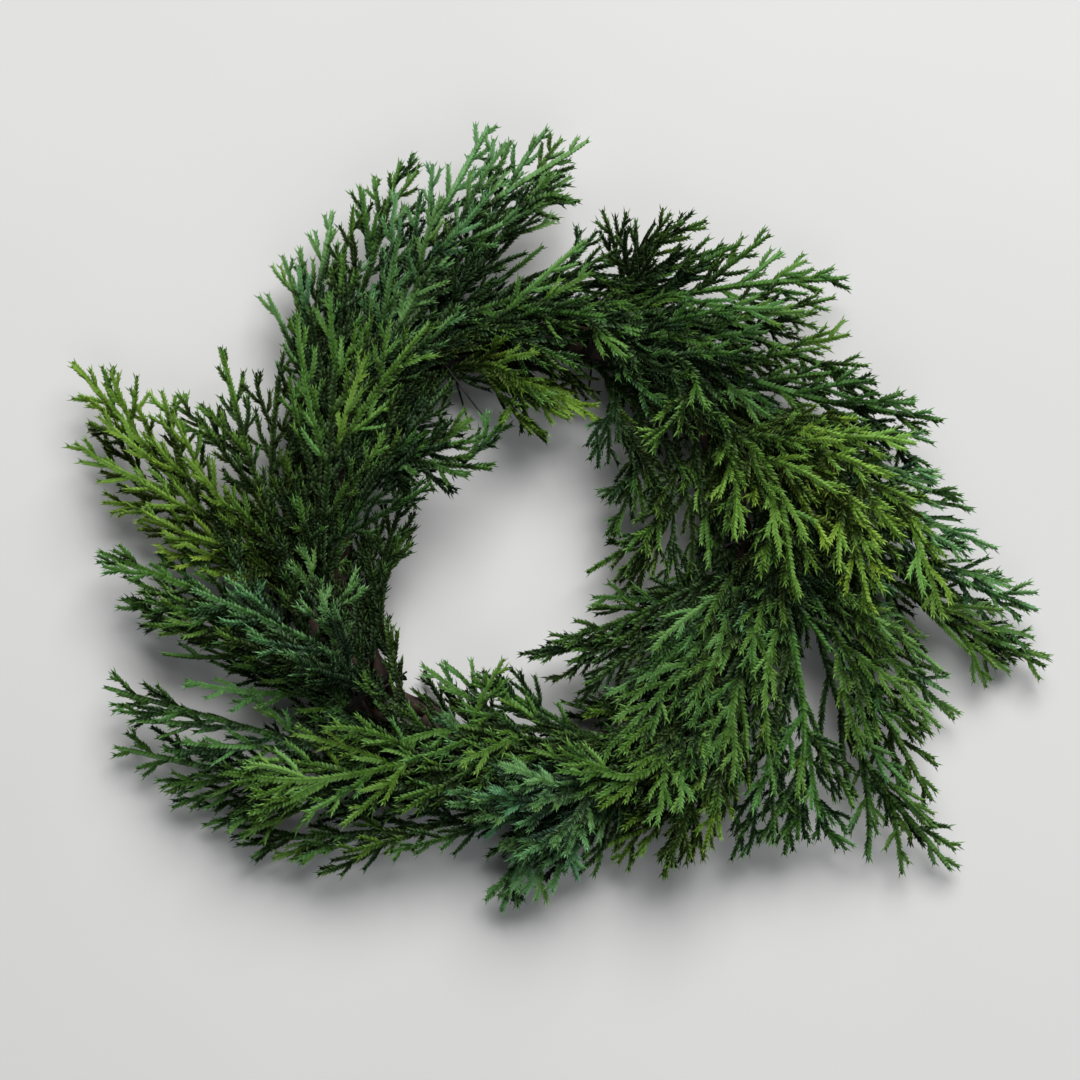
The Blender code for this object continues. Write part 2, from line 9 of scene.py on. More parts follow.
import bpy
import numpy as np
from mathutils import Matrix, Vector

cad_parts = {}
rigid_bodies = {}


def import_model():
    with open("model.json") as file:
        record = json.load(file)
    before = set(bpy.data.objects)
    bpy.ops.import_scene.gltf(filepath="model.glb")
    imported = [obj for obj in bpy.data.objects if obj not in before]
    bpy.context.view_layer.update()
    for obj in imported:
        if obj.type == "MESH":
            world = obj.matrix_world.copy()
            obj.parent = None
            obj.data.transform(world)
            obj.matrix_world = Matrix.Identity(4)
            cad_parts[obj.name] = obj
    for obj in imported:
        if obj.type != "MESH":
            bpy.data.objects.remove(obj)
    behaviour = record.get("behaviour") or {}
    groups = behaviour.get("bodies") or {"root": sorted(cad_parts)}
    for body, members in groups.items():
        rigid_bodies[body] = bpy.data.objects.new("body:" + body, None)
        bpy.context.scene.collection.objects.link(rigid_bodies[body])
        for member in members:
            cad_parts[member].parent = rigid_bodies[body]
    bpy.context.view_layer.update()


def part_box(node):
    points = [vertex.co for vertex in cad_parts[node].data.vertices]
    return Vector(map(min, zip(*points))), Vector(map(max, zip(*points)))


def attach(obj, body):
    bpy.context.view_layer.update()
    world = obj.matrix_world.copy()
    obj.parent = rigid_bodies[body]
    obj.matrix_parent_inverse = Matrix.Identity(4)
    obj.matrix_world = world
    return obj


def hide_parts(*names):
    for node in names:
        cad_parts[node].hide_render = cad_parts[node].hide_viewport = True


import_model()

METRES = 0.001  # in a millimetre
UP = Vector((0.0, 0.0, 1.0))
LEVEL = (1.0, 1.0, 0.0)  # takes the height off a point
NUDGE = 1e-6  # to step just past a tie
TINY = 1e-9  # for lengths that come out as nothing

# ---- The vine ring: canes twisted together, pinched where a wire ties them, bulging between
RING_RADIUS = 80.0
BUNDLE_HEIGHT = 11.0
CANE_RADII = (3.0, 2.6, 2.9, 2.4, 2.7)
CANE_TURNS = 2  # of the canes round each other
CANE_START = 20.0  # where the first cane's cut end lies
CANE_GAP = 14.0  # between a cane's two cut ends
CANE_PHASE = -6.0
CANE_STATIONS = (0.0, 0.28, 0.5, 0.72)  # a cane's rings, as shares of the way from tie to tie
CANE_END_ROOM = 3.0  # no ring stands nearer to a cut end than this
PINCH = 7.4  # how far the canes' middles stand from the bundle's at a tie,
BULGE = 9.8  # and halfway between two

# The wire ties, by their angle round the ring
TIE_ANGLES = (250.0, 221.0, 193.0, 156.0, 117.0, 76.0, 38.0, 2.0, -34.0, -70.0)
TIE_POINTS = 16
WIRE_RADIUS = 0.35
WIRE_FLOOR_GAP = 0.03
TIE_OVER_STEMS = 15.4  # how far a wire runs from the bundle's middle over and beside it
TIE_UNDER_CANES = 11.5  # and under it

# ---- The sprays' stems
STEM_ROD = math.hypot(0.8, 0.8)  # the bare stem, from its middle to a corner of its section
TWIG_ROD = math.hypot(1.35, 1.0)  # and leafy lengths
STEM_REACH = 5.0  # a stem's middle stands this far over the canes' middles
STEM_RISE = 0.8  # and rises this much more past its tie
BARE_BEFORE_TIE = 5.0
BARE_AFTER_TIE = 6.0
BARE_END = 17.0
STEM_STATIONS = (0.0, BARE_BEFORE_TIE, BARE_BEFORE_TIE + BARE_AFTER_TIE, BARE_END)
CURVE_PITCH = 5.0  # between the points of a middle line
CLEARANCE = 0.45  # between a spray and what it is laid on
FLOOR_GAP = 0.6
TIP_TAPER = 5.0  # the pointed end of every leafy length

# Side branches leave at slots on both sides of a stem
STEM_PITCH = 17.0  # between a stem's slots
BRANCH_PITCH = 15.0  # between a branch's
SLOT_HALF = 2.0
BRANCH_LEAN = 27.2  # a side branch leaves where its lean is nearest to this
BRANCH_BEND = 0.05  # how far forward a side branch bends, as a share of its reach
BRANCH_FIRST = 8.0  # its first slot stands at least this far out
BRANCH_ROOM = 3.9  # and this far to the side of the stem
BRANCH_LEAST_LEAN = 0.2  # in radians, for working that out
BRANCH_ROOT = 2.5  # the length inside the stem's own room
BRANCH_TRIES = 2  # free slots tried for a side branch

# How much higher a whole spray, and a side branch's tip, is tried than where it belongs
LIFTS = sorted((1.5 * step for step in range(-5, 21)), key=lambda lift: (abs(lift), -lift))
RISES = (0.0, 3.0, -3.0, 6.0, -6.0, 9.0, -9.0, 12.0, 15.0)

# Each spray: name, tie, place round the bundle (0 on top, 90 outside), green,
# bow (x, y, height), tip (x, y, height), and the tips of its side branches (x, y)
SPRAYS = (
    ("low_left_1", 0, 45, "dark", (-96, -67, 26), (-155, -50, 16), ((-152, -44), (-136, -49), (-143, -62))),
    ("low_left_2", 0, 78, "dark", (-92, -83, 18), (-152, -71, 9),
     ((-144, -79), (-135, -86), (-131, -93), (-108, -95), (-120, -99))),
    ("low_left_3", 0, 10, "mid", (-78, -84, 38), (-112, -81, 32), ((-103, -87), (-89, -92))),
    ("left_1", 1, 45, "mid", (-101, -27, 32), (-157, -2, 20), ((-148, -11), (-140, -29))),
    ("left_2", 1, 78, "dark", (-103, -41, 20), (-150, -18, 12), ((-137, -26), (-126, -34), (-112, -43))),
    ("left_3", 1, 5, "blue", (-78, -37, 44), (-121, -18, 42), ((-105, -12), (-83, 0), (-62, -14))),
    ("left_4", 2, 78, "yellow", (-121, 9, 20), (-163, 35, 12), ((-157, 16), (-144, 6), (-158, 51))),
    ("left_5", 2, 50, "bright", (-117, 9, 30), (-168, 67, 18), ((-166, 54), (-154, 64), (-135, 56))),
    ("left_6", 2, 22, "mid", (-99, 20, 34), (-114, 71, 26), ((-131, 50), (-91, 69), (-99, 34))),
    ("left_7", 2, -8, "mid", (-74, 20, 46), (-69, 101, 44), ((-86, 71), (-38, 76), (-30, 55))),
    ("left_8", 1, -75, "dark", (-59, -21, 24), (-48, 17, 26), ((-44, 1), (-62, 7), (-55, 15))),
    ("top_left_1", 3, 72, "blue", (-80, 82, 24), (-75, 123, 14), ((-98, 91), (-93, 106), (-84, 114))),
    ("top_left_2", 3, 46, "mid", (-62, 92, 32), (-50, 140, 20), ((-65, 130), (-44, 141), (-39, 112))),
    ("top_left_3", 3, 20, "blue", (-44, 99, 36), (-18, 152, 24), ((-33, 137), (-26, 141))),
    ("top_left_4", 3, -6, "blue", (-32, 105, 40), (18, 146, 26), ((-10, 145), (12, 132))),
    ("top_left_5", 3, -31, "dark", (-8, 115, 34), (15, 122, 26), ((1, 114), (-4, 102))),
    ("top_left_6", 3, -66, "dark", (-43, 27, 26), (-16, 25, 22),
     ((-21, 35), (-31, 15), (-23, 43), (-11, 47), (-46, 10))),
    ("top_1", 4, 48, "dark", (-4, 92, 28), (36, 103, 26), ((2, 107), (24, 96), (21, 113))),
    ("top_2", 4, 8, "mid", (7, 83, 36), (39, 59, 34), ((23, 76), (13, 61))),
    ("top_3", 4, -45, "bright", (-11, 60, 34), (-3, 38, 26), ((-14, 40), (23, 44), (11, 44))),
    ("top_right_1", 5, 80, "dark", (36, 103, 18), (60, 115, 16),
     ((22, 121), (31, 113), (47, 117), (54, 104))),
    ("top_right_2", 5, 54, "mid", (71, 92, 28), (111, 97, 18),
     ((87, 106), (70, 102), (99, 100), (64, 102))),
    ("top_right_3", 5, 28, "mid", (78, 71, 34), (122, 53, 22), ((111, 75), (106, 88), (116, 50))),
    ("top_right_4", 5, 2, "dark", (91, 51, 38), (144, 44, 24), ((121, 48), (140, 21))),
    ("top_right_5", 5, -24, "mid", (50, 62, 44), (66, 37, 38), ((50, 41), (36, 30))),
    ("top_right_6", 5, -64, "dark", (37, 41, 26), (26, 2, 20), ((17, 28), (21, 16), (42, 12))),
    ("right_1", 6, 80, "dark", (124, -12, 20), (181, -43, 10), ((171, -41), (159, -51), (152, -39))),
    ("right_2", 6, 55, "blue", (121, 0, 28), (178, -23, 14), ((150, 14), (163, -2))),
    ("right_3", 6, 30, "yellow", (114, 20, 44), (142, -10, 34), ((134, 7), (141, -28))),
    ("right_4", 6, 6, "yellow", (101, 20, 48), (115, -27, 42), ((100, -4), (122, -16))),
    ("right_5", 6, -18, "bright", (80, 23, 46), (89, -23, 44), ((67, -2), (78, -12))),
    ("right_6", 6, -70, "mid", (47, 11, 22), (16, -10, 18), ((23, 2), (27, -21), (50, -16))),
    ("low_right_1", 7, 80, "blue", (119, -34, 20), (148, -62, 10), ((146, -46),)),
    ("low_right_2", 7, 58, "dark", (110, -69, 24), (146, -115, 8), ((128, -117), (116, -112))),
    ("low_right_3", 7, 36, "dark", (117, -55, 28), (139, -91, 12), ((137, -64), (140, -76))),
    ("low_right_4", 7, 14, "mid", (92, -66, 34), (86, -110, 14),
     ((105, -108), (97, -98), (67, -112), (76, -106))),
    ("low_right_5", 7, -14, "dark", (63, -71, 36), (36, -91, 32), ((21, -76), (47, -101))),
    ("low_right_6", 7, -60, "dark", (44, -30, 22), (-8, -39, 20), ((4, -36), (36, -55), (14, -56))),
    ("bottom_1", 8, 34, "bright", (50, -91, 28), (20, -108, 14), ((44, -118), (53, -113), (27, -113))),
    ("bottom_2", 8, -20, "mid", (36, -82, 38), (-4, -73, 36), ((12, -71),)),
    ("bottom_3", 9, 70, "dark", (-46, -100, 16), (-103, -104, 8), ((-86, -109), (-66, -107), (-112, -98))),
    ("bottom_4", 9, 52, "blue", (-2, -103, 24), (-14, -130, 10), ((-20, -126), (-6, -124), (16, -115))),
    ("bottom_5", 9, 28, "blue", (4, -92, 38), (-33, -92, 30), ((-18, -79), (-23, -89))),
    ("bottom_6", 9, 2, "mid", (-14, -78, 34), (-46, -86, 30), ((-50, -96),)),
    ("bottom_7", 9, -40, "mid", (-25, -65, 30), (-73, -78, 28), ((-42, -43), (-21, -45), (-12, -41))),
)

# ---- the ring's own geometry

def bundle_point(angle_deg, place_deg, reach):
    """A point round the cane bundle: place 0 is on top of it, 90 on its outer side."""
    angle = math.radians(angle_deg)
    place = math.radians(place_deg)
    outward = Vector((math.cos(angle), math.sin(angle), 0.0))
    centre = outward * RING_RADIUS + UP * BUNDLE_HEIGHT
    return centre + (outward * math.sin(place) + UP * math.cos(place)) * reach


def tie_span(angle_deg):
    """The angles of the ties below and above an angle."""
    ties = [tie % 360.0 + turn for tie in TIE_ANGLES for turn in (-360.0, 0.0, 360.0)]
    angle = angle_deg % 360.0
    turns = angle_deg - angle
    return max(tie for tie in ties if tie <= angle) + turns, min(tie for tie in ties if tie > angle) + turns


def bundle_reach(angle_deg):
    """How far the canes' middles stand from the bundle's: least at a tie."""
    below, above = tie_span(angle_deg)
    return PINCH + (BULGE - PINCH) * math.sin(math.pi * (angle_deg - below) / (above - below))


def cane_path(index):
    """A cane's middle line: its two cut ends, every tie, and three points between ties."""
    phase = 360.0 * index / len(CANE_RADII)
    first = phase + CANE_START
    last = first + 360.0 - CANE_GAP
    angles = []
    below, above = tie_span(first)
    while below < last:
        angles += [below + (above - below) * share for share in CANE_STATIONS]
        below, above = tie_span(above + NUDGE)
    inner = [angle for angle in angles if first + CANE_END_ROOM < angle < last - CANE_END_ROOM]
    return [bundle_point(angle, phase + CANE_PHASE + CANE_TURNS * angle, bundle_reach(angle))
            for angle in (first, *inner, last)]


def tie_path(angle_deg):
    """A closed loop of wire over canes and stems, flat along the surface."""
    points = []
    for step in range(TIE_POINTS):
        place = 360.0 * step / TIE_POINTS
        under = max(0.0, -math.cos(math.radians(place))) ** 0.5
        point = bundle_point(angle_deg, place, TIE_OVER_STEMS + (TIE_UNDER_CANES - TIE_OVER_STEMS) * under)
        point.z = max(point.z, WIRE_RADIUS + WIRE_FLOOR_GAP)
        points.append(point)
    return points


# ---- curves and clearances

def smooth_curve(knots, pitch):
    """Points about a pitch apart on a Catmull-Rom curve through the knots."""
    ends = [knots[0] * 2 - knots[1], *knots, knots[-1] * 2 - knots[-2]]
    points = []
    for a, b, c, d in zip(ends, ends[1:], ends[2:], ends[3:]):
        steps = max(2, round((c - b).length / pitch))
        for step in range(steps):
            t = step / steps
            points.append(0.5 * (2 * b + (c - a) * t + (2 * a - 5 * b + 4 * c - d) * t**2
                                 + (3 * b - a - 3 * c + d) * t**3))
    return points + [knots[-1].copy()]


def nearest_gaps(starts, ends, other_starts, other_ends):
    """The least distances between each of some segments and each of others."""
    d1 = (ends - starts)[:, None, :]
    d2 = (other_ends - other_starts)[None, :, :]
    r = starts[:, None, :] - other_starts[None, :, :]
    a = (d1 * d1).sum(-1)
    e = (d2 * d2).sum(-1)
    b = (d1 * d2).sum(-1)
    c = (d1 * r).sum(-1)
    f = (d2 * r).sum(-1)
    det = a * e - b * b
    s = np.where(det > TINY, np.clip((b * f - c * e) / np.maximum(det, TINY), 0, 1), 0.0)
    t = np.clip((b * s + f) / np.maximum(e, TINY), 0, 1)
    s = np.clip((b * t - c) / np.maximum(a, TINY), 0, 1)
    return np.sqrt(((r + d1 * s[..., None] - d2 * t[..., None]) ** 2).sum(-1))


def as_rows(points):
    """Vectors as the rows of an array."""
    return np.array([tuple(point) for point in points])


class Space:
    """What is placed already, as rods: two ends and a radius each."""

    def __init__(self):
        self.rods = np.zeros((0, 7))

    def add(self, points, radius):
        line = as_rows(points)
        rods = np.column_stack([line[:-1], line[1:], np.full(len(line) - 1, radius)])
        self.rods = np.vstack([self.rods, rods])

    def clear_of(self, points, radius):
        """Whether a rod along the points touches neither the surface nor what is placed."""
        line = as_rows(points)
        if line[:, 2].min() < radius + FLOOR_GAP:
            return False
        gaps = nearest_gaps(line[:-1], line[1:], self.rods[:, :3], self.rods[:, 3:6]) - self.rods[:, 6]
        return bool((gaps > radius + CLEARANCE).all())


# ---- how a spray lies

class Axis:
    """A stem or side branch: its middle line, the slots where side branches may leave it, and
    those that do, each (slot, side, axis)."""

    def __init__(self, points, first, pitch):
        self.points = points
        self.lengths = [0.0]
        for a, b in zip(points, points[1:]):
            self.lengths.append(self.lengths[-1] + (b - a).length)
        self.length = self.lengths[-1]
        self.first = first
        self.children = []
        room = self.length - TIP_TAPER - 3 * SLOT_HALF - first
        self.slots = [first + pitch * step for step in range(int(room / pitch) + 1) if room > 0]

    def at(self, wanted):
        """The point at a length along it, and its direction there."""
        points, lengths, last = self.points, self.lengths, len(self.points) - 1
        wanted = min(max(wanted, 0.0), self.length)
        index = next(i for i in range(1, last + 1) if lengths[i] >= wanted or i == last)
        share = (wanted - lengths[index - 1]) / (lengths[index] - lengths[index - 1])
        ahead = points[min(index + 1, last)] - points[max(index - 2, 0)]
        return points[index - 1].lerp(points[index], share), ahead.normalized()

    def line(self, start, stations=()):
        """The corners of its middle line from a length on."""
        lengths = [length for length in (*stations, *self.slots, self.length - TIP_TAPER) if length > start]
        return [self.at(length)[0] for length in sorted([start, *lengths])] + [self.points[-1]]


def main_axis(tie, place, bow, tip, lift):
    """A spray's stem: bare under its wire tie, then over its bow to its tip."""
    middle = TIE_ANGLES[tie]
    degrees = math.degrees(1.0 / RING_RADIUS)
    before = middle + BARE_BEFORE_TIE * degrees
    after = middle - BARE_AFTER_TIE * degrees
    knots = [
        bundle_point(before, place, bundle_reach(before) + STEM_REACH),
        bundle_point(middle, place, PINCH + STEM_REACH),
        bundle_point(after, place, bundle_reach(after) + STEM_REACH + STEM_RISE),
        Vector((bow[0], bow[1], bow[2] + lift)),
        Vector((tip[0], tip[1], tip[2] + lift)),
    ]
    return Axis(smooth_curve(knots, CURVE_PITCH), BARE_END + 2 * SLOT_HALF, STEM_PITCH)


def lean_to(axis, length, tip):
    """The angle in plan between an axis at a length and the way to a tip."""
    point, ahead = axis.at(length)
    across = Vector((tip[0] - point.x, tip[1] - point.y))
    return math.degrees(ahead.to_2d().angle_signed(across))


def side_branch(stem, start, tip, rise):
    """A branch that leaves the stem forwards and ends over its tip."""
    root, ahead = stem.at(start)
    reach = (Vector(tip) - root.to_2d()).length
    level = stem.at(start + reach)[0].z
    end = Vector((tip[0], tip[1], level + rise))
    middle = root.lerp(end, 0.5) + ahead * BRANCH_BEND * reach
    lean = (middle - root).angle(ahead)
    first = max(BRANCH_FIRST, BRANCH_ROOM / math.sin(max(lean, BRANCH_LEAST_LEAN)))
    return Axis(smooth_curve([root, middle, end], CURVE_PITCH), first + SLOT_HALF, BRANCH_PITCH)


def lay_branches(stem, side_tips, space):
    """Adds the stem's side branches, and returns whether each found a clear way."""
    own = Space()
    own.add(stem.line(BARE_END), TWIG_ROD)
    for side_tip in side_tips:
        def miss(start, wanted=side_tip):
            return abs(abs(lean_to(stem, start, wanted)) - BRANCH_LEAN)

        side = -1 if lean_to(stem, min(stem.slots, key=miss), side_tip) > 0 else 1
        used = {slot for slot, taken_side, _ in stem.children if taken_side == side}
        free = sorted((slot for slot in stem.slots if slot not in used), key=miss)
        for slot, rise in ((slot, rise) for slot in free[:BRANCH_TRIES] for rise in RISES):
            branch = side_branch(stem, slot, side_tip, rise)
            outer = branch.line(branch.first)
            if space.clear_of(branch.line(BRANCH_ROOT), TWIG_ROD) and own.clear_of(outer, TWIG_ROD):
                own.add(outer, TWIG_ROD)
                stem.children.append((slot, side, branch))
                break
        else:
            return False
    return True


def lay_spray(row, space):
    """A spray's stem and side branches, at the first height where they touch nothing."""
    name, tie, place, _, bow, tip, side_tips = row
    for lift in LIFTS:
        stem = main_axis(tie, place, bow, tip, lift)
        bare_clear = space.clear_of(stem.line(0.0, STEM_STATIONS), STEM_ROD)
        if bare_clear and space.clear_of(stem.line(BARE_END), TWIG_ROD):
            if lay_branches(stem, side_tips, space):
                return stem
    raise ValueError(f"{name} finds no clear height")


def lay_stems():
    """Every spray's stem and side branches in turn, each laid on those before it."""
    space = Space()
    for index, radius in enumerate(CANE_RADII):
        space.add(cane_path(index), radius)
    for angle in TIE_ANGLES:
        loop = tie_path(angle)
        space.add(loop + loop[:1], WIRE_RADIUS)
    stems = []
    for row in SPRAYS:
        stem = lay_spray(row, space)
        space.add(stem.line(0.0, STEM_STATIONS), STEM_ROD)
        space.add(stem.line(BARE_END), TWIG_ROD)
        for _, _, branch in stem.children:
            space.add(branch.line(0.0), TWIG_ROD)
        stems.append(stem)
    return stems


# ---- foliage: how twigs run

SEED = 572
STEP = 1.5  # between the points of a twig's middle line
LEAST_STEPS = 4
CORNER_ROUNDS = 3  # how often a stem's corners are evened out
FLOOR_Z = 1.9  # foliage keeps its leaf tips above the surface
ROOF_Z = 56.4
EASE = 5.0  # how softly foliage bends off those two heights
ROLL_ON = 0.25  # how much a leafy length rolls on, in degrees a millimetre

# How twigs and twiglets grow: their pitch on what they leave, their length against what is left
# of it past them, their longest, and their lean
TWIGS = (6.4, 0.54, 42.0, 31.0)
TWIGLETS = (5.2, 0.39, 12.0, 34.0)
FIRST_TWIG = (0.2, 0.9)  # where the first leaves, in pitches
PITCH_VARIES = (0.7, 1.3)
LENGTH_PLUS = 4.5  # a twig's length past its share
LENGTH_VARIES = (0.65, 1.2)
LEAN_VARIES = 6.0
TILT = 25.0  # how far twigs stand out of a spray's plane
CURL = (0.2, 0.9)  # the share of its lean that a twig loses on its way
ROLL_VARIES = 14.0
FRESHER = 0.04  # than what it leaves
COLOUR_VARIES = 0.16
TWIG_BARE = 1.2  # a twig's length without leaves
TIP_FREE = 5.0  # no twig leaves this near to a tip
BRANCH_NEAR = 2.5  # or this near to a side branch
TWIGLET_FROM = 11.0  # a twig shorter than this has no twiglets

# A stem's and a side branch's length without leaves, and the spreads of its roll and colours
STEMS = (6.0, 9.0, 0.15, 0.2)
BRANCHES = (3.0, 12.0, 0.12, 0.14)

BASAL_COUNT = 4  # short shoots that leave a stem near its tie
BASAL_SPREADS = ((3.0, 24.0), (20.0, 42.0), (15.0, 55.0))  # where, their length and their lean
BASAL_TILT = (-12.0, 25.0)  # usual and spread
BASAL_CURL = (0.4, 1.0)
BASAL_ROLL = 25.0
# painted shade: basal shoots lie low under their spray, and their tone is lowered by this much
BASAL_PAINTED_SHADE = 0.15
BED_LEAST = 14  # short shoots tucked between the canes past each tie: at least
BED_MOST = 32  # these, and more past a tie that holds few sprays
BED_LESS = 4  # which has this many fewer for every spray it holds
BED_PLACES = (-100.0, 95.0)  # where round the bundle they come out,
BED_SCATTER = 8.0  # give or take this,
BED_PAST = (2.0, 34.0)  # and how far past the tie
BED_REACH = (24.0, 38.0)
BED_SPIN = 18.0  # how far they wind round the bundle
BED_START = 8.0  # how far from the bundle's middle they start
BED_RISE = 17.0  # how much further they end
BED_BEND = 0.8  # below 1 they rise early
BED_BARE = 2.0
BED_ROLL = 40.0
BED_LOOKS = ((0.1, 0.4), (0.2, 0.8))  # how fresh and how blue they are
INNER_PLACE = -50.0  # sprays tied further in fill the ring's inner edge:
INNER_PAINTED_SHADE = 0.20  # their foliage is darker by this, painted shade for the ring's shaded inner edge
CLOSER = 0.72  # and their twigs stand closer, as do those of three more
DENSE_SPRAYS = ("bottom_1", "low_right_5", "top_3")

# Where the surface shows and twigs keep their tips out: the middles and half sizes (x, y) of
# ellipses, for the ring's open middle and for gaps along its edge
MIDDLE = ((-16.0, 0.0, 36.0, 38.0), (-32.0, -18.0, 21.0, 22.0))
MIDDLE_CORNER = 41.0  # twigs reach into the middle where y is this much more than x
GAPS = ((-125.0, -44.5, 14.0, 4.5), (-96.0, 82.0, 5.0, 15.0), (-58.0, -130.5, 34.0, 13.0),
        (-27.0, 143.0, 6.0, 10.0), (2.0, 105.0, 13.0, 7.0), (150.0, -38.0, 12.0, 9.0),
        (97.0, -56.0, 6.0, 19.0))

# How fresh and how blue a spray's foliage is about, from 0 to 1
LOOKS = {"dark": (0.44, 0.56), "mid": (0.45, 0.60), "bright": (0.50, 0.42), "yellow": (0.54, 0.40),
         "blue": (0.61, 0.55)}


def unit(vectors):
    return vectors / np.linalg.norm(vectors, axis=-1, keepdims=True)


def run_along(line):
    """The length along a line at each of its points."""
    return np.concatenate([[0.0], np.cumsum(np.linalg.norm(np.diff(line, axis=0), axis=1))])


def between(lengths, known, rows):
    """Rows at lengths along a line, between those at known lengths."""
    return np.stack([np.interp(lengths, known, rows[:, k]) for k in range(3)], -1)


class Shoot:
    """A leafy length: the points of its middle line, where its leaves start, its order (0 for a
    stem), its roll, and how fresh and how blue it is, from 0 to 1."""

    def __init__(self, points, first, order, roll, fresh, hue):
        self.points = points
        self.first = first
        self.order = order
        self.roll = roll
        self.fresh = fresh
        self.hue = hue
        self.lengths = run_along(points)
        self.length = self.lengths[-1]
        self.ahead = unit(np.gradient(points, axis=0))

    def at(self, lengths):
        """Points and directions at lengths along it."""
        return between(lengths, self.lengths, self.points), unit(between(lengths, self.lengths, self.ahead))

    def sides(self, ahead, lengths):
        """The directions to its left and out of its face, rolled about its line."""
        left = unit(np.cross(UP, ahead))
        face = np.cross(ahead, left)
        roll = np.radians(self.roll + ROLL_ON * np.asarray(lengths))[..., None]
        return left * np.cos(roll) + face * np.sin(roll), face * np.cos(roll) - left * np.sin(roll)


def fine_line(points):
    """A middle line again with close points, its corners rounded."""
    line = as_rows(points)
    lengths = run_along(line)
    steps = max(LEAST_STEPS, int(lengths[-1] / STEP))
    line = between(np.linspace(0.0, lengths[-1], steps), lengths, line)
    for _ in range(CORNER_ROUNDS):
        line[1:-1] = 0.25 * line[:-2] + 0.5 * line[1:-1] + 0.25 * line[2:]
    return line


def within(points):
    """Presses a line's heights softly into the room between the surface and the roof."""
    z = points[:, 2]
    z = np.where(z > ROOF_Z - EASE, ROOF_Z - EASE * np.exp(-(z - ROOF_Z + EASE) / EASE), z)
    points[:, 2] = np.where(z < FLOOR_Z + EASE, FLOOR_Z + EASE * np.exp((z - FLOOR_Z - EASE) / EASE), z)
    return points


def inside(point, ellipses):
    return any(((point[0] - x) / wide) ** 2 + ((point[1] - y) / high) ** 2 < 1.0
               for x, y, wide, high in ellipses)


def in_open(point):
    """Whether a twig's tip lies where the surface shows."""
    in_middle = inside(point, MIDDLE) and point[1] - point[0] < MIDDLE_CORNER
    return in_middle or inside(point, GAPS)


def side_line(parent, start, side, reach, lean, tilt, curl):
    """The middle line of a twig that leaves a shoot and curls forward along it."""
    root, ahead = parent.at(start)
    left, face = parent.sides(ahead, start)
    out = left * side * math.cos(math.radians(tilt)) + face * math.sin(math.radians(tilt))
    steps = max(LEAST_STEPS, int(reach / STEP))
    share = (np.arange(steps) + 0.5) / steps
    turn = np.radians(lean) * (1.0 - curl * share)
    run = ahead * np.cos(turn)[:, None] + out * np.sin(turn)[:, None]
    return np.vstack([root, root + np.cumsum(run, axis=0) * reach / steps])


def twigs_of(parent, growth, rng, closer=1.0, branches=()):
    """The twigs of one shoot, on alternate sides, shorter towards its tip, and clear of its side
    branches, each a length and a side."""
    pitch, share, longest, lean = growth
    pitch *= closer
    twigs = []
    side = 1 if rng.random() < 0.5 else -1
    start = parent.first + pitch * rng.uniform(*FIRST_TWIG)
    while start < parent.length - TIP_FREE:
        if not any(abs(start - length) < BRANCH_NEAR and side == other for length, other in branches):
            reach = min(share * (parent.length - start) + LENGTH_PLUS, longest) * rng.uniform(*LENGTH_VARIES)
            tilt = rng.normal(0.0, TILT)
            lean_here = lean + rng.normal(0.0, LEAN_VARIES)
            line = side_line(parent, start, side, reach, lean_here, tilt, rng.uniform(*CURL))
            if not in_open(line[-1]):
                fresh = np.clip(parent.fresh + rng.normal(FRESHER, COLOUR_VARIES), 0.0, 1.0)
                hue = np.clip(parent.hue + rng.normal(0.0, COLOUR_VARIES), 0.0, 1.0)
                roll = parent.roll + rng.normal(0.0, ROLL_VARIES)
                twigs.append(Shoot(within(line), TWIG_BARE, parent.order + 1, roll, fresh, hue))
        side = -side
        start += pitch * rng.uniform(*PITCH_VARIES)
    return twigs


def short_shoots(main, tie, number, rng):
    """Short shoots that leave the stem near its tie and lie over the canes, and some that come out
    between the canes past the tie and hug the bundle. A tie's sprays share these: the number says
    which of them are this spray's."""
    shoots = []
    for _ in range(BASAL_COUNT):
        starts, reaches, leans = BASAL_SPREADS
        start = rng.uniform(*starts)
        side = rng.choice((-1, 1))
        reach, lean = rng.uniform(*reaches), rng.uniform(*leans)
        tilt = rng.normal(*BASAL_TILT)
        line = side_line(main, start, side, reach, lean, tilt, rng.uniform(*BASAL_CURL))
        if not in_open(line[-1]):
            roll = rng.normal(0.0, BASAL_ROLL)
            # painted shade: a basal shoot lies under its spray, so it is darker than its stem
            shoots.append(Shoot(within(line), TWIG_BARE, 1, roll, main.fresh - BASAL_PAINTED_SHADE, main.hue))
    sharers = sum(row[1] == tie for row in SPRAYS)
    count = max(BED_LEAST, BED_MOST - BED_LESS * sharers)
    for place in np.linspace(*BED_PLACES, count)[number::sharers]:
        angle = TIE_ANGLES[tie] - rng.uniform(*BED_PAST)
        place += rng.normal(0.0, BED_SCATTER)
        reach = rng.uniform(*BED_REACH)
        turn = math.degrees(reach / RING_RADIUS)
        spin = rng.normal(0.0, BED_SPIN)
        line = as_rows(
            bundle_point(angle - turn * share, place + spin * share, BED_START + BED_RISE * share**BED_BEND)
            for share in np.linspace(0.0, 1.0, int(reach / STEP)))
        if not in_open(line[-1]):
            roll = rng.normal(0.0, BED_ROLL)
            fresh, hue = (rng.uniform(*spread) for spread in BED_LOOKS)
            shoots.append(Shoot(within(line), BED_BARE, 1, roll, fresh, hue))
    return shoots


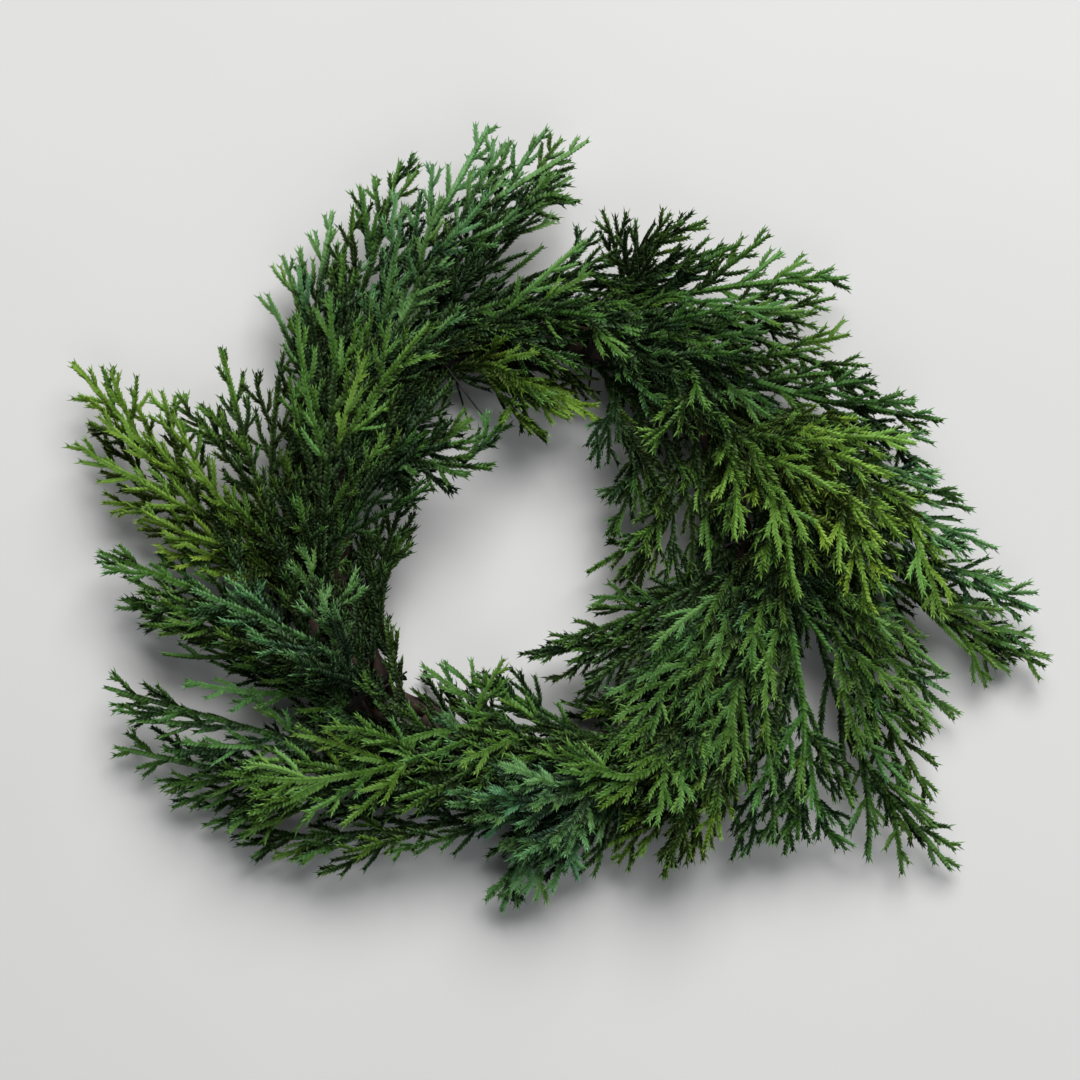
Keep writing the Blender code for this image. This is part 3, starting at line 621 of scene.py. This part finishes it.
def spray_shoots(stem, row, number, rng):
    """Every leafy length of one spray: its stem, side branches, twigs and twiglets."""
    name, tie, place, green = row[:4]
    inner = place < INNER_PLACE
    closer = CLOSER if inner or name in DENSE_SPRAYS else 1.0
    fresh, hue = LOOKS[green]
    # painted shade: the foliage of sprays tied further in is darker, for the shade at the ring's inner edge
    if inner:
        fresh -= INNER_PAINTED_SHADE
    bare, rolls, freshes, hues = STEMS
    roll = rng.normal(0.0, rolls)
    fresh += rng.uniform(-freshes, freshes)
    main = Shoot(fine_line(stem.points), bare, 0, roll, fresh, hue + rng.uniform(-hues, hues))
    leaders = [main]
    bare, *spreads = BRANCHES
    for _, _, branch in stem.children:
        roll, fresher, bluer = (rng.normal(0.0, spread) for spread in spreads)
        leaders.append(Shoot(fine_line(branch.points), bare, 1, roll, main.fresh + fresher, main.hue + bluer))
    shoots = list(leaders)
    branches = [(start, side) for start, side, _ in stem.children]
    for leader in leaders:
        twigs = twigs_of(leader, TWIGS, rng, closer, branches if leader is main else ())
        shoots += twigs
        for twig in twigs:
            if twig.length > TWIGLET_FROM:
                shoots += twigs_of(twig, TWIGLETS, rng)
    for short in short_shoots(main, tie, number, rng):
        shoots += [short, *twigs_of(short, TWIGLETS, rng)]
    return shoots


# ---- foliage: painted shade from what lies over it

# The grid in which foliage is counted: its cells and half its width in plan, its layers and height
SHADE_CELL = 4.0
SHADE_ROOM = 220.0
SHADE_STEP = 3.0
SHADE_TOP = 66.0
SHADE_ABOVE = 3.6  # foliage counts from this far above a point
SHADE_FULL = 13.0  # length of twigs over a cell that darkens what is under them
SHADE_RATE = 1.6  # how fast
SHADE = 0.90  # how much of the tone the painted shade takes off at most


def shade_cell(points, above=0.0):
    """The cells of the shade grid at or above points."""
    cell = ((points[:, :2] + SHADE_ROOM) / SHADE_CELL).astype(int)
    return cell[:, 0], cell[:, 1], ((points[:, 2] + above) / SHADE_STEP).astype(int)


def shade_grid(sprays):
    """The length of twigs at or over each cell, smoothed over those beside it."""
    side = int(2 * SHADE_ROOM / SHADE_CELL)
    grid = np.zeros((side, side, int(SHADE_TOP / SHADE_STEP)))
    for shoot in (shoot for shoots in sprays for shoot in shoots):
        middle = (shoot.points[1:] + shoot.points[:-1]) / 2.0
        np.add.at(grid, shade_cell(middle), np.diff(shoot.lengths))
    grid = np.cumsum(grid[:, :, ::-1], axis=2)[:, :, ::-1]
    for axis in (0, 1):
        grid = 0.25 * np.roll(grid, 1, axis) + 0.5 * grid + 0.25 * np.roll(grid, -1, axis)
    return grid


def paint_shade(tones, grid, points):
    """Tones at points, with painted shade: darkened by the foliage over them."""
    x, y, layer = shade_cell(points, SHADE_ABOVE)
    over = grid[x, y, np.minimum(layer, grid.shape[2] - 1)]
    return np.clip(tones - SHADE * (1.0 - np.exp(-SHADE_RATE * over / SHADE_FULL)), 0.0, 1.0)


# ---- foliage: meshes

# How foliage looks: the pitch of leaves on one side, how far a leaf reaches ahead, how far its
# point and its back stand off the twig's line, and the half width of the twig itself
SCALES = (1.5, 2.4, 1.42, 0.95, 0.62)
NEEDLES = (1.15, 2.3, 1.75, 0.75, 0.55)
NEEDLE_SPRAYS = ("bottom_4", "bottom_5")

TIP_LENGTH = 2.6  # the needle tips that end a twig
TIP_STAND = 1.35
TIP_HALF = 0.40
TIP_FRESHER = 0.3  # than their twig
THIRD_TIP = 0.25  # the share of twigs that have one, out of their face
THIRD_STAND = 0.25
CORE_PITCH = 4.5  # of the rings of a twig under its leaves
CORE_RINGS = 3  # at least
CORE_TONE = 0.80  # how fresh it is against them
CORE_BACK = 0.8  # and how thick
CORE_LEAST = 2.0  # a shorter one is left out
CORE_END = 0.5  # how far it runs into the needle tips, which start with
TIP_START = 0.8  # this much of their length on the twig
TIP_VARIES = ((0.8, 1.2), (0.75, 1.2))  # their length and stand
LEAF_VARIES = ((0.85, 1.15), (0.82, 1.14), (0.90, 1.08))  # a leaf's reach, stand and back
PALE = (0.55, 1.25)  # how pale the leaves' points are, about
TAPER = ((0.0, 8.0, 30.0), (0.62, 0.86, 1.0))  # how slim a twig is at lengths from its tip
SIZES = (1.35, 1.12, 1.0, 0.92)  # how thick stems, branches, twigs and twiglets are
TIP_LIGHTER = 0.42  # how much lighter a twig's tip is than its root,
EVEN_SHARE = 0.35  # with its own tone at this share of its length
LEAF_TONE_VARIES = 0.06
OTHER_SIDE = (0.3, 0.7)  # where the leaves of the other side stand, in pitches

# Leaf shapes: corners, faces, how much of a tip each corner is, its tone against the leaf's, and
# where each face's corners lie in the leaf's cell of the map. A corner is (ahead, off the twig,
# out of its face), in reaches, stands and backs.
# A scale leaf rises off one side of the twig and ends in a point that stands off: two base
# corners, two front corners on the twig's line, and the point.
SCALE_LEAF = (
    np.array([(-0.15, 0.30, 0.42), (-0.15, 0.30, -0.42), (0.62, -0.05, 1.0), (0.62, -0.05, -1.0),
              (1.0, 1.0, 0.0)]),
    np.array([(0, 4, 1), (0, 2, 4), (1, 4, 3), (2, 3, 4)]),
    np.array([0.0, 0.0, 0.42, 0.42, 1.0]),
    np.array([-0.24, -0.24, -0.02, -0.02, 0.08]),
    np.array([
        [(0.0, 0.04), (1.0, 0.18), (0.0, 0.28)], [(0.0, 0.50), (0.55, 0.32), (1.0, 0.50)],
        [(0.0, 0.56), (1.0, 0.56), (0.55, 0.74)], [(0.1, 0.80), (0.1, 1.0), (1.0, 0.90)]]),
)
# A needle tip: its base, its two edges with the keel between them, and its point
NEEDLE_TIP = (
    np.array([(-0.12, 0.25, 0.0), (0.36, 0.45, 1.0), (0.34, 0.75, 0.0), (0.36, 0.45, -1.0),
              (1.0, 1.0, 0.0)]),
    np.array([(0, 1, 2), (1, 4, 2), (0, 2, 3), (2, 4, 3), (1, 3, 4)]),
    np.array([0.0, 0.3, 0.35, 0.3, 1.0]),
    np.array([-0.1, 0.0, 0.05, 0.0, 0.1]),
    np.array([
        [(0.0, 0.17), (0.4, 0.0), (0.4, 0.32)], [(0.4, 0.0), (1.0, 0.17), (0.4, 0.32)],
        [(0.0, 0.50), (0.4, 0.34), (0.4, 0.66)], [(0.4, 0.34), (1.0, 0.50), (0.4, 0.66)],
        [(0.3, 0.68), (0.3, 1.0), (1.0, 0.84)]]),
)
CELL_EDGE = 0.08  # the empty edge of a leaf's cell


def mirrored(shape):
    """A leaf's shape for the other side of a twig: its faces run the other way."""
    corners, faces, tips, tones, cells = shape
    return corners, faces[:, ::-1], tips, tones, cells[:, ::-1]


def new_mesh(name, corners, faces, shift):
    made = bpy.data.meshes.new(name)
    made.from_pydata(corners * METRES + shift, [], faces)
    return made


class Patch:
    """Collects the parts of one mesh: corners, what the material reads at them, triangles, whether
    they are flat, and where their corners lie in which cell of the map."""

    def __init__(self):
        self.pieces = []
        self.count = 0
        self.cell_count = 0

    def add(self, corners, tips, tones, hue, triangles, flat, cells, numbers):
        self.pieces.append((corners, tips, tones, np.full(len(corners), hue), triangles + self.count,
                            np.full(len(triangles), flat), cells, numbers + self.cell_count))
        self.count += len(corners)
        self.cell_count += int(numbers.max()) + 1

    def add_leaves(self, shape, places, directions, sizes, pale, tones, hue):
        """A leaf at each place, along three directions with a size each."""
        corners, faces, tips, shades, cells = shape
        count = len(places)
        scaled = corners[None] * np.stack(sizes, -1)[:, None, :]
        points = places[:, None] + sum(directions[k][:, None] * scaled[..., k:k + 1] for k in range(3))
        triangles = faces[None] + len(corners) * np.arange(count)[:, None, None]
        self.add(points.reshape(-1, 3), np.outer(pale, tips).ravel(), np.add.outer(tones, shades).ravel(),
                 hue, triangles.reshape(-1, 3), True, np.tile(cells, (count, 1, 1)),
                 np.repeat(np.arange(count), len(faces)))

    def mesh(self, name, shift):
        corners, tips, tones, hues, triangles, flats, cells, numbers = map(np.concatenate, zip(*self.pieces))
        made = new_mesh(name, corners, triangles, shift)
        made.polygons.foreach_set("use_smooth", ~flats)
        for key, values in (("tip", tips), ("tone", tones), ("hue", hues)):
            layer = made.attributes.new(key, "FLOAT", "POINT")
            layer.data.foreach_set("value", values.astype(np.float32))
        side = math.ceil(math.sqrt(self.cell_count))
        place = np.stack([numbers % side, numbers // side], -1)[:, None, :]
        place = (place + (CELL_EDGE + (1.0 - 2.0 * CELL_EDGE) * cells)) / side
        made.uv_layers.new(name="OFBake").data.foreach_set("uv", place.ravel())
        return made


def add_core(patch, shoot, half, back, grid):
    """The twig under its leaves: a four-sided rod with pointed ends."""
    end = shoot.length - CORE_END * TIP_LENGTH
    if end < CORE_LEAST:
        return
    count = max(CORE_RINGS, int(end / CORE_PITCH) + 1)
    lengths = np.linspace(0.0, end, count)
    point, ahead = shoot.at(lengths)
    left, face = shoot.sides(ahead, lengths)
    thin = np.interp(shoot.length - lengths, *TAPER)[:, None]
    wide, high = left * half * thin, face * back * thin
    rings = np.stack([point + wide, point + high, point - wide, point - high], 1).reshape(-1, 3)
    corners = np.vstack([rings, point[:1] - ahead[:1] * half, point[-1:] + ahead[-1:] * half])
    last = 4 * (count - 1)
    sides, caps, side_cells, cap_cells = [], [], [], []
    for a, b in ((0, 1), (1, 2), (2, 3), (3, 0)):
        low, top, middle = a / 4.0, (a + 1) / 4.0, (a + 0.5) / 4.0
        sides += [(a, b, b + 4), (a, b + 4, a + 4)]
        side_cells += [[(0, low), (0, top), (1, top)], [(0, low), (1, top), (1, low)]]
        caps += [(b, a, last + 4), (last + a, last + b, last + 5)]
        cap_cells += [[(0.5, top), (0.5, low), (0, middle)], [(0.5, low), (0.5, top), (1, middle)]]
    rows = np.repeat(np.arange(count - 1), len(sides))
    triangles = np.vstack([np.tile(sides, (count - 1, 1)) + 4 * rows[:, None], caps])
    cells = np.vstack([np.tile(side_cells, (count - 1, 1, 1)), cap_cells])
    numbers = np.concatenate([rows, np.full(len(caps), count - 1)])
    # painted shade on the rod: darker where foliage lies over it
    tones = paint_shade(CORE_TONE * shoot.fresh, grid, corners)
    patch.add(corners, np.zeros(len(corners)), tones, shoot.hue, triangles, False, cells, numbers)


def leaf_out(patch, shoot, habit, grid, rng):
    """Covers a shoot's two sides with leaves, and ends it in two or three needle tips."""
    pitch, reach, stand, back, core = habit
    size = SIZES[min(shoot.order, 3)]
    last = shoot.length - TIP_START * TIP_LENGTH
    add_core(patch, shoot, core * size, CORE_BACK * back * size, grid)
    other_start = rng.uniform(*OTHER_SIDE) * pitch
    for sign, start, shape in ((1, 0.0, SCALE_LEAF), (-1, other_start, mirrored(SCALE_LEAF))):
        lengths = np.arange(shoot.first + start, last - 0.5 * pitch, pitch)
        count = len(lengths)
        if count == 0:
            continue
        point, ahead = shoot.at(lengths)
        left, face = shoot.sides(ahead, lengths)
        slim = np.interp(shoot.length - lengths, *TAPER)
        vary = [rng.uniform(*spread, count) for spread in LEAF_VARIES]
        sizes = (reach * slim * vary[0], (core * size + stand - core) * slim * vary[1],
                 back * size * slim * vary[2])
        tones = shoot.fresh + TIP_LIGHTER * (lengths / shoot.length - EVEN_SHARE)
        # painted shade: leaves under other foliage are darker
        tones = paint_shade(tones + rng.normal(0.0, LEAF_TONE_VARIES, count), grid, point)
        pale = rng.uniform(*PALE, count)
        patch.add_leaves(shape, point, (ahead, left * sign, face), sizes, pale, tones, shoot.hue)
    point, ahead = shoot.at(np.array([last]))
    left, face = shoot.sides(ahead, np.array([last]))
    tips = []
    for out in (left, -left):
        long, far = (rng.uniform(*spread) for spread in TIP_VARIES)
        tips.append((out, np.cross(ahead, out), TIP_LENGTH * long, TIP_STAND * far))
    if rng.random() < THIRD_TIP:
        tips.append((face, -left, TIP_LENGTH, THIRD_STAND))
    # painted shade on the needle tips too
    tones = paint_shade(shoot.fresh + TIP_FRESHER, grid, point)
    for out, across, length, stand in tips:
        sizes = (np.array([length]), np.array([stand]), np.array([TIP_HALF]))
        patch.add_leaves(NEEDLE_TIP, point, (ahead, out, across), sizes, [1.0], tones, shoot.hue)


# ---- the vine canes and their wire

CANE_SEED = SEED + 100
WIRE_SEED = SEED + 200
CANE_ROUND = 14  # corners round a cane
CANE_PITCH = 2.2
CANE_SLIM = 0.95  # of its radius, for what its bark adds
CANE_MOST = 1.16  # and the most that it adds
CANE_SWELLS = ((0.07, 9.0, 1.0), (0.05, 3.7, 2.0))  # how much, how long, and the canes' shift
RIDGES = (5.0, 0.06, 21.0)  # how many, how high, and how slowly they wind
BARK_ROUGH = 0.04
BUDS = (9, 0.22, 2.4)  # how many, how high, and how long
BUD_END_ROOM = 20.0
BUD_ROUND = 0.4  # the share of its height that a bud has all round the cane
WIRE_ROUND = 6
WIRE_ON_CANES = 10.7  # how far a wire runs from the bundle's middle on bare canes
WIRE_ON_STEMS = 13.9  # and over stems
WIRE_OVER_STEM = 20.0  # how near to a stem, round the bundle, it has risen halfway
WIRE_RISE_EASE = 4.0
WIRE_TURNS = 3.25  # of a wire round the bundle
WIRE_STEPS = 26  # points in a turn
WIRE_START = -120.0  # where round the bundle it starts, low on the inner side
WIRE_SLANT = 2.6  # degrees round the ring that its turns take up
WIRE_WAVER = (0.25, 7.0)  # how far its turns waver there, and how often
END_LENGTHS = (7.0, 15.0)  # of its loose ends
END_TURN = 0.7  # how far they point aside of the ring's axis, in radians, at most
END_RISE = 0.3
END_STEPS = 16
END_BOW = 0.4  # how far they run on along the winding, as a share of their length
STEEP = 0.35  # a line whose level part is less than this is steep

# Some wires' loose ends reach well into the opening: by tie, their two tips (x, y, height)
LONG_ENDS = {
    1: ((-52.0, -35.0, 12.0), (-47.0, -45.0, 20.0)),
    2: ((-64.0, -28.0, 12.0), (-63.0, -6.0, 22.0)),
    3: ((-62.0, 12.0, 14.0), (-60.0, 8.0, 26.0)),
    4: ((-25.0, 43.0, 14.0), (-20.5, 46.0, 22.0)),
}


def turns_of(sides):
    """The angles of a tube's corners, in radians."""
    return 2.0 * np.pi * np.arange(sides) / sides


def tube(path, radii):
    """The rings of a tube, with a radius for each corner of each ring."""
    ahead = unit(np.gradient(path, axis=0))
    side = np.cross(ahead, UP)
    steep = np.linalg.norm(side, axis=1) < STEEP
    side[steep] = (path * LEVEL)[steep]
    side = unit(side - ahead * (side * ahead).sum(-1, keepdims=True))
    normal = np.cross(side, ahead)
    turn = turns_of(radii.shape[1])[None, :, None]
    return path[:, None] + (side[:, None] * np.cos(turn) + normal[:, None] * np.sin(turn)) * radii[..., None]


def tube_mesh(name, rings, shift):
    """A tube's mesh, with both ends closed by a fan round a middle point."""
    count, sides = rings.shape[:2]
    corners = np.vstack([rings.reshape(-1, 3), rings[0].mean(0), rings[-1].mean(0)])
    pairs = [(k, (k + 1) % sides) for k in range(sides)]
    last = (count - 1) * sides
    faces = [(row + a, row + b, row + sides + b, row + sides + a)
             for row in range(0, last, sides) for a, b in pairs]
    for a, b in pairs:
        faces += [(b, a, count * sides), (last + a, last + b, count * sides + 1)]
    made = new_mesh(name, corners, faces, shift)
    made.shade_smooth()
    return made


def bark_rings(index, rng):
    """A cane's rings: ridged bark that swells at buds, flat where it lies down."""
    line = fine_line(smooth_curve(cane_path(index), CANE_PITCH))
    count = len(line)
    turn = turns_of(CANE_ROUND)[None]
    along = np.arange(count)[:, None] * STEP
    swell = 1.0 + sum(high * np.sin(along / long + shift * index) for high, long, shift in CANE_SWELLS)
    many, high, slow = RIDGES
    ridges = high * np.sin(many * turn + along / slow) + BARK_ROUGH * rng.normal(size=(count, CANE_ROUND))
    many, high, long = BUDS
    places = rng.uniform(BUD_END_ROOM, count * STEP - BUD_END_ROOM, many)
    buds = sum(high * np.exp(-((along - place) / long) ** 2) for place in places)
    on_a_side = BUD_ROUND + (1.0 - BUD_ROUND) * np.cos(turn - index) ** 2
    radius = CANE_RADII[index]
    radii = radius * CANE_SLIM * (swell + ridges + buds * on_a_side)
    rings = tube(line, np.minimum(radii, radius * CANE_MOST))
    rings[..., 2] = np.maximum(rings[..., 2], 0.0)
    return rings


def free_tip(start, rng):
    """Where a wire's short end lies: a little way into the ring's opening."""
    inward = unit(-start * LEVEL)
    aside = np.array((-inward[1], inward[0], 0.0))
    turn = rng.uniform(-END_TURN, END_TURN)
    away = inward * math.cos(turn) + aside * math.sin(turn) + (0.0, 0.0, rng.uniform(0.0, END_RISE))
    return start + away * rng.uniform(*END_LENGTHS)


def loose_end(start, behind, tip):
    """A wire's free end runs on along the winding a little and bends to its tip."""
    bow = start + unit(start - behind) * END_BOW * np.linalg.norm(tip - start)
    share = np.arange(1, END_STEPS + 1)[:, None] / END_STEPS
    return (1.0 - share) ** 2 * start + 2.0 * share * (1.0 - share) * bow + share**2 * tip


def wire_line(tie, rng):
    """A wire's middle line: a loose end, turns round canes and stems, the other end."""
    places = [row[2] for row in SPRAYS if row[1] == tie]
    steps = int(WIRE_TURNS * WIRE_STEPS)
    far, often = WIRE_WAVER
    wound = []
    for share in (step / steps for step in range(steps + 1)):
        place = WIRE_START + 360.0 * WIRE_TURNS * share
        angle = TIE_ANGLES[tie] + (WIRE_SLANT * (share - 0.5) + far * math.sin(often * share))
        apart = min(abs((place - other + 180.0) % 360.0 - 180.0) for other in places)
        over = 1.0 / (1.0 + math.exp((apart - WIRE_OVER_STEM) / WIRE_RISE_EASE))
        wound.append(bundle_point(angle, place, WIRE_ON_CANES + (WIRE_ON_STEMS - WIRE_ON_CANES) * over))
    wound = as_rows(wound)
    tips = np.array(LONG_ENDS.get(tie, [free_tip(wound[0], rng), free_tip(wound[-1], rng)]))
    first = loose_end(wound[0], wound[1], tips[0])
    last = loose_end(wound[-1], wound[-2], tips[1])
    line = np.vstack([first[::-1], wound, last])
    line[:, 2] = np.maximum(line[:, 2], WIRE_RADIUS + WIRE_FLOOR_GAP)
    return line


# ---- materials, with their colours in linear light

class Shader:
    """A material's node tree, with short ways to add nodes and link them."""

    def __init__(self, name):
        self.material = bpy.data.materials.new(name)
        self.material.use_nodes = True
        self.tree = self.material.node_tree

    def feed(self, node, sockets):
        """Sets a node's inputs to numbers or colours, or links outputs to them."""
        for key, value in sockets.items():
            if isinstance(value, bpy.types.NodeSocket):
                self.tree.links.new(value, node.inputs[key])
            else:
                node.inputs[key].default_value = (*value, 1.0) if isinstance(value, tuple) else value

    def node(self, kind, sockets, out, **settings):
        """A new node's output, or the node where out is None."""
        made = self.tree.nodes.new(kind)
        for key, value in settings.items():
            setattr(made, key, value)
        self.feed(made, sockets)
        return made if out is None else made.outputs[out]

    def noise(self, scale, detail=3.0, rough=0.55):
        place = self.node("ShaderNodeTexCoord", {}, "Object")
        sockets = {"Vector": place, "Scale": scale, "Detail": detail, "Roughness": rough}
        return self.node("ShaderNodeTexNoise", sockets, "Fac")

    def attribute(self, name):
        return self.node("ShaderNodeAttribute", {}, "Fac", attribute_name=name)

    def math(self, operation, first, second):
        return self.node("ShaderNodeMath", {0: first, 1: second}, 0, operation=operation)

    def scaled(self, value, by, plus):
        return self.math("ADD", self.math("MULTIPLY", value, by), plus)

    def ramp(self, value, stops):
        made = self.node("ShaderNodeValToRGB", {"Fac": value}, None)
        elements = made.color_ramp.elements
        while len(elements) < len(stops):
            elements.new(0.5)
        for element, (place, colour) in zip(elements, stops):
            element.position = place
            element.color = (*colour, 1.0)
        return made.outputs["Color"]

    def mix(self, share, first, second, blend="MIX"):
        sockets = {0: share, 6: first, 7: second}
        return self.node("ShaderNodeMix", sockets, 2, data_type="RGBA", blend_type=blend)

    def bump(self, height, strength, distance):
        sockets = {"Height": height, "Strength": strength, "Distance": distance}
        return self.node("ShaderNodeBump", sockets, "Normal")

    def surface(self, sockets):
        """Feeds the surface's own inputs, and returns the finished material."""
        self.feed(self.tree.nodes["Principled BSDF"], sockets)
        return self.material


# Each green: its older and shaded colour, which painted shade darkens foliage towards, its usual and fresh
# colour, and the colour of its leaf tips
LEAF_COLOURS = {
    "dark": ((0.006, 0.016, 0.0012), (0.039, 0.098, 0.011), (0.125, 0.252, 0.062), (0.225, 0.372, 0.155)),
    "mid": ((0.007, 0.019, 0.0015), (0.051, 0.126, 0.013), (0.146, 0.292, 0.066), (0.245, 0.400, 0.155)),
    "bright": ((0.010, 0.026, 0.0015), (0.068, 0.150, 0.015), (0.172, 0.330, 0.058), (0.255, 0.415, 0.135)),
    "yellow": ((0.015, 0.034, 0.0015), (0.112, 0.220, 0.021), (0.268, 0.462, 0.080), (0.365, 0.560, 0.170)),
    "blue": ((0.006, 0.021, 0.0025), (0.056, 0.144, 0.032), (0.160, 0.340, 0.124), (0.285, 0.466, 0.238)),
}
LEAF_PLACES = (0.0, 0.16, 0.45, 1.0)  # the tones of its deepest shade colour, its older and shaded colour, its usual and its fresh colour
DEEPEST_SHADE = 0.4  # the deepest colour, painted shade only, against the older and shaded one
TIP_PALE = 0.44  # how much of a leaf's tip has the tips' colour
WARM_TINT = (1.16, 1.02, 0.76)  # what a twig's colour is multiplied by, from least blue
COOL_TINT = (0.80, 0.98, 1.32)  # to bluest


def leaf_material(green):
    """Matte moulded plastic: every twig has its own tone, foliage under other foliage has painted shade, and
    leaf tips are paler.
    """
    older_and_shaded, usual, fresh, tip = LEAF_COLOURS[green]
    deepest_shade = tuple(DEEPEST_SHADE * part for part in older_and_shaded)
    shader = Shader(f"{green}_foliage")
    patches = shader.noise(38.0)
    grain = shader.noise(620.0, 2.0)
    tone = shader.attribute("tone")
    for noise, strength in ((patches, 0.9), (grain, 0.35)):
        change = shader.math("MULTIPLY", shader.math("SUBTRACT", noise, 0.5), strength)
        tone = shader.math("ADD", tone, change)
    # the tone carries painted shade: shaded foliage takes the older and shaded colour and the deepest shade
    # colour
    body = shader.ramp(tone, tuple(zip(LEAF_PLACES, (deepest_shade, older_and_shaded, usual, fresh))))
    edge = shader.math("MULTIPLY", shader.math("POWER", shader.attribute("tip"), 2.0), TIP_PALE)
    tint = shader.mix(shader.attribute("hue"), WARM_TINT, COOL_TINT)
    return shader.surface({
        "Base Color": shader.mix(1.0, shader.mix(edge, body, tip), tint, "MULTIPLY"),
        "Roughness": shader.scaled(grain, 0.2, 0.55),
        "Specular IOR Level": 0.03,
        "Normal": shader.bump(grain, 0.25, 0.0003),
    })


def bark_material():
    shader = Shader("vine_bark")
    streaks = shader.noise(420.0, 5.0, 0.5)
    coarse = shader.noise(95.0)
    both = shader.scaled(streaks, 0.6, shader.math("MULTIPLY", coarse, 0.4))
    stops = ((0.32, (0.008, 0.004, 0.003)), (0.5, (0.027, 0.013, 0.008)), (0.68, (0.085, 0.043, 0.024)))
    return shader.surface({
        "Base Color": shader.ramp(both, stops),
        "Roughness": shader.scaled(coarse, 0.2, 0.7),
        "Normal": shader.bump(both, 0.7, 0.0008),
    })


def wire_material():
    shader = Shader("dark_wire")
    worn = shader.noise(300.0)
    return shader.surface({
        "Base Color": shader.ramp(worn, ((0.3, (0.004, 0.0035, 0.003)), (0.7, (0.014, 0.011, 0.009)))),
        "Roughness": shader.scaled(worn, 0.3, 0.4),
        "Metallic": 0.3,
    })


def floor_material():
    shader = Shader("pale_floor")
    stops = ((0.3, (0.61, 0.615, 0.62)), (0.7, (0.65, 0.655, 0.66)))
    return shader.surface({
        "Base Color": shader.ramp(shader.noise(3.0), stops),
        "Roughness": 0.8,
        "Specular IOR Level": 0.2,
    })


# ---- the dressed object

def add_object(name, data, place=(0.0, 0.0, 0.0), back=None):
    """Adds an object; with back, the direction behind it, it looks the other way."""
    made = bpy.data.objects.new(name, data)
    made.location = place
    if back is not None:
        made.rotation_euler = (-back).to_track_quat("-Z", "Y").to_euler()
    bpy.context.scene.collection.objects.link(made)
    return made


def put(mesh, material, node):
    """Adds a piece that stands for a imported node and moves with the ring's one body."""
    mesh.materials.append(material)
    piece = add_object(mesh.name, mesh)
    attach(piece, "root")
    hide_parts(node)


def ring_shift():
    """Where the ring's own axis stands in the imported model, from its wire ties."""
    shifts = []
    for index, angle in enumerate(TIE_ANGLES):
        low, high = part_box(f"wire_tie_{index + 1}")
        loop = as_rows(tie_path(angle)) * METRES
        middle = (loop.max(0) + loop.min(0)) / 2.0
        shifts.append([(low[k] + high[k]) / 2.0 - middle[k] for k in (0, 1)])
    return np.array([*np.mean(shifts, axis=0), 0.0])


def dress(shift):
    """Puts bark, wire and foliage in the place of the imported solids."""
    bark = bark_material()
    for index in range(len(CANE_RADII)):
        rings = bark_rings(index, np.random.default_rng(CANE_SEED + index))
        put(tube_mesh(f"bark_cane_{index + 1}", rings, shift), bark, f"vine_cane_{index + 1}")
    wire = wire_material()
    for index in range(len(TIE_ANGLES)):
        line = wire_line(index, np.random.default_rng(WIRE_SEED + index))
        rings = tube(line, np.full((len(line), WIRE_ROUND), WIRE_RADIUS))
        put(tube_mesh(f"wound_tie_{index + 1}", rings, shift), wire, f"wire_tie_{index + 1}")
    leaves = {green: leaf_material(green) for green in LEAF_COLOURS}
    draws = [np.random.default_rng(SEED + index) for index in range(len(SPRAYS))]
    sprays = []
    for index, (row, stem) in enumerate(zip(SPRAYS, lay_stems())):
        number = sum(other[1] == row[1] for other in SPRAYS[:index])
        sprays.append(spray_shoots(stem, row, number, draws[index]))
    # the foliage over each place, for the painted shade on what lies under it
    grid = shade_grid(sprays)
    for row, shoots, rng in zip(SPRAYS, sprays, draws):
        name, green = row[0], row[3]
        patch = Patch()
        for shoot in shoots:
            leaf_out(patch, shoot, NEEDLES if name in NEEDLE_SPRAYS else SCALES, grid, rng)
        put(patch.mesh(f"foliage_{name}", shift), leaves[green], f"spray_{name}")


# ---- stage, light and camera, in metres

CAMERA_RISE = 83.0
CAMERA_FAR = 1.05
CAMERA_AIM = (0.0, 0.0018, 0.020)  # from the ring's own axis
SENSOR = 36.0  # the camera's, in millimetres
VIEW_WIDE = 0.3834  # how much the view shows at the ring
FLOOR_HALF = 4.0
FLOOR_DROP = 0.0002
SKY = (0.93, 0.96, 1.0)
SKY_STRENGTH = 0.055
# Soft lights that aim at the ring: name, place, size, watts, colour
LAMPS = (
    ("window", (0.45, 1.40, 2.00), 1.9, 86.0, (1.0, 0.985, 0.96)),
    ("fill", (0.2, -1.0, 1.5), 1.0, 5.0, (0.95, 0.975, 1.0)),
)


def stage(shift):
    scene = bpy.context.scene
    mesh = bpy.data.meshes.new("floor")
    corners = [(x * FLOOR_HALF, y * FLOOR_HALF, 0) for x, y in ((-1, -1), (1, -1), (1, 1), (-1, 1))]
    mesh.from_pydata(corners, [], [(0, 1, 2, 3)])
    mesh.materials.append(floor_material())
    add_object("floor", mesh, (0.0, 0.0, -FLOOR_DROP))
    world = bpy.data.worlds.new("studio")
    world.use_nodes = True
    sky = world.node_tree.nodes["Background"]
    sky.inputs["Color"].default_value = (*SKY, 1.0)
    sky.inputs["Strength"].default_value = SKY_STRENGTH
    scene.world = world
    scene.view_settings.view_transform = "Standard"
    for name, place, size, watts, colour in LAMPS:
        lamp = bpy.data.lights.new(name, "AREA")
        lamp.shape = "DISK"
        lamp.size = size
        lamp.energy = watts
        lamp.color = colour
        add_object(name, lamp, place, Vector(place))
    camera = bpy.data.cameras.new("camera")
    camera.sensor_width = SENSOR
    camera.lens = SENSOR * CAMERA_FAR / VIEW_WIDE
    rise = math.radians(CAMERA_RISE)
    back = Vector((0.0, -math.cos(rise), math.sin(rise)))
    scene.camera = add_object("camera", camera, Vector(shift + CAMERA_AIM) + back * CAMERA_FAR, back)


ring_axis = ring_shift()
dress(ring_axis)
stage(ring_axis)
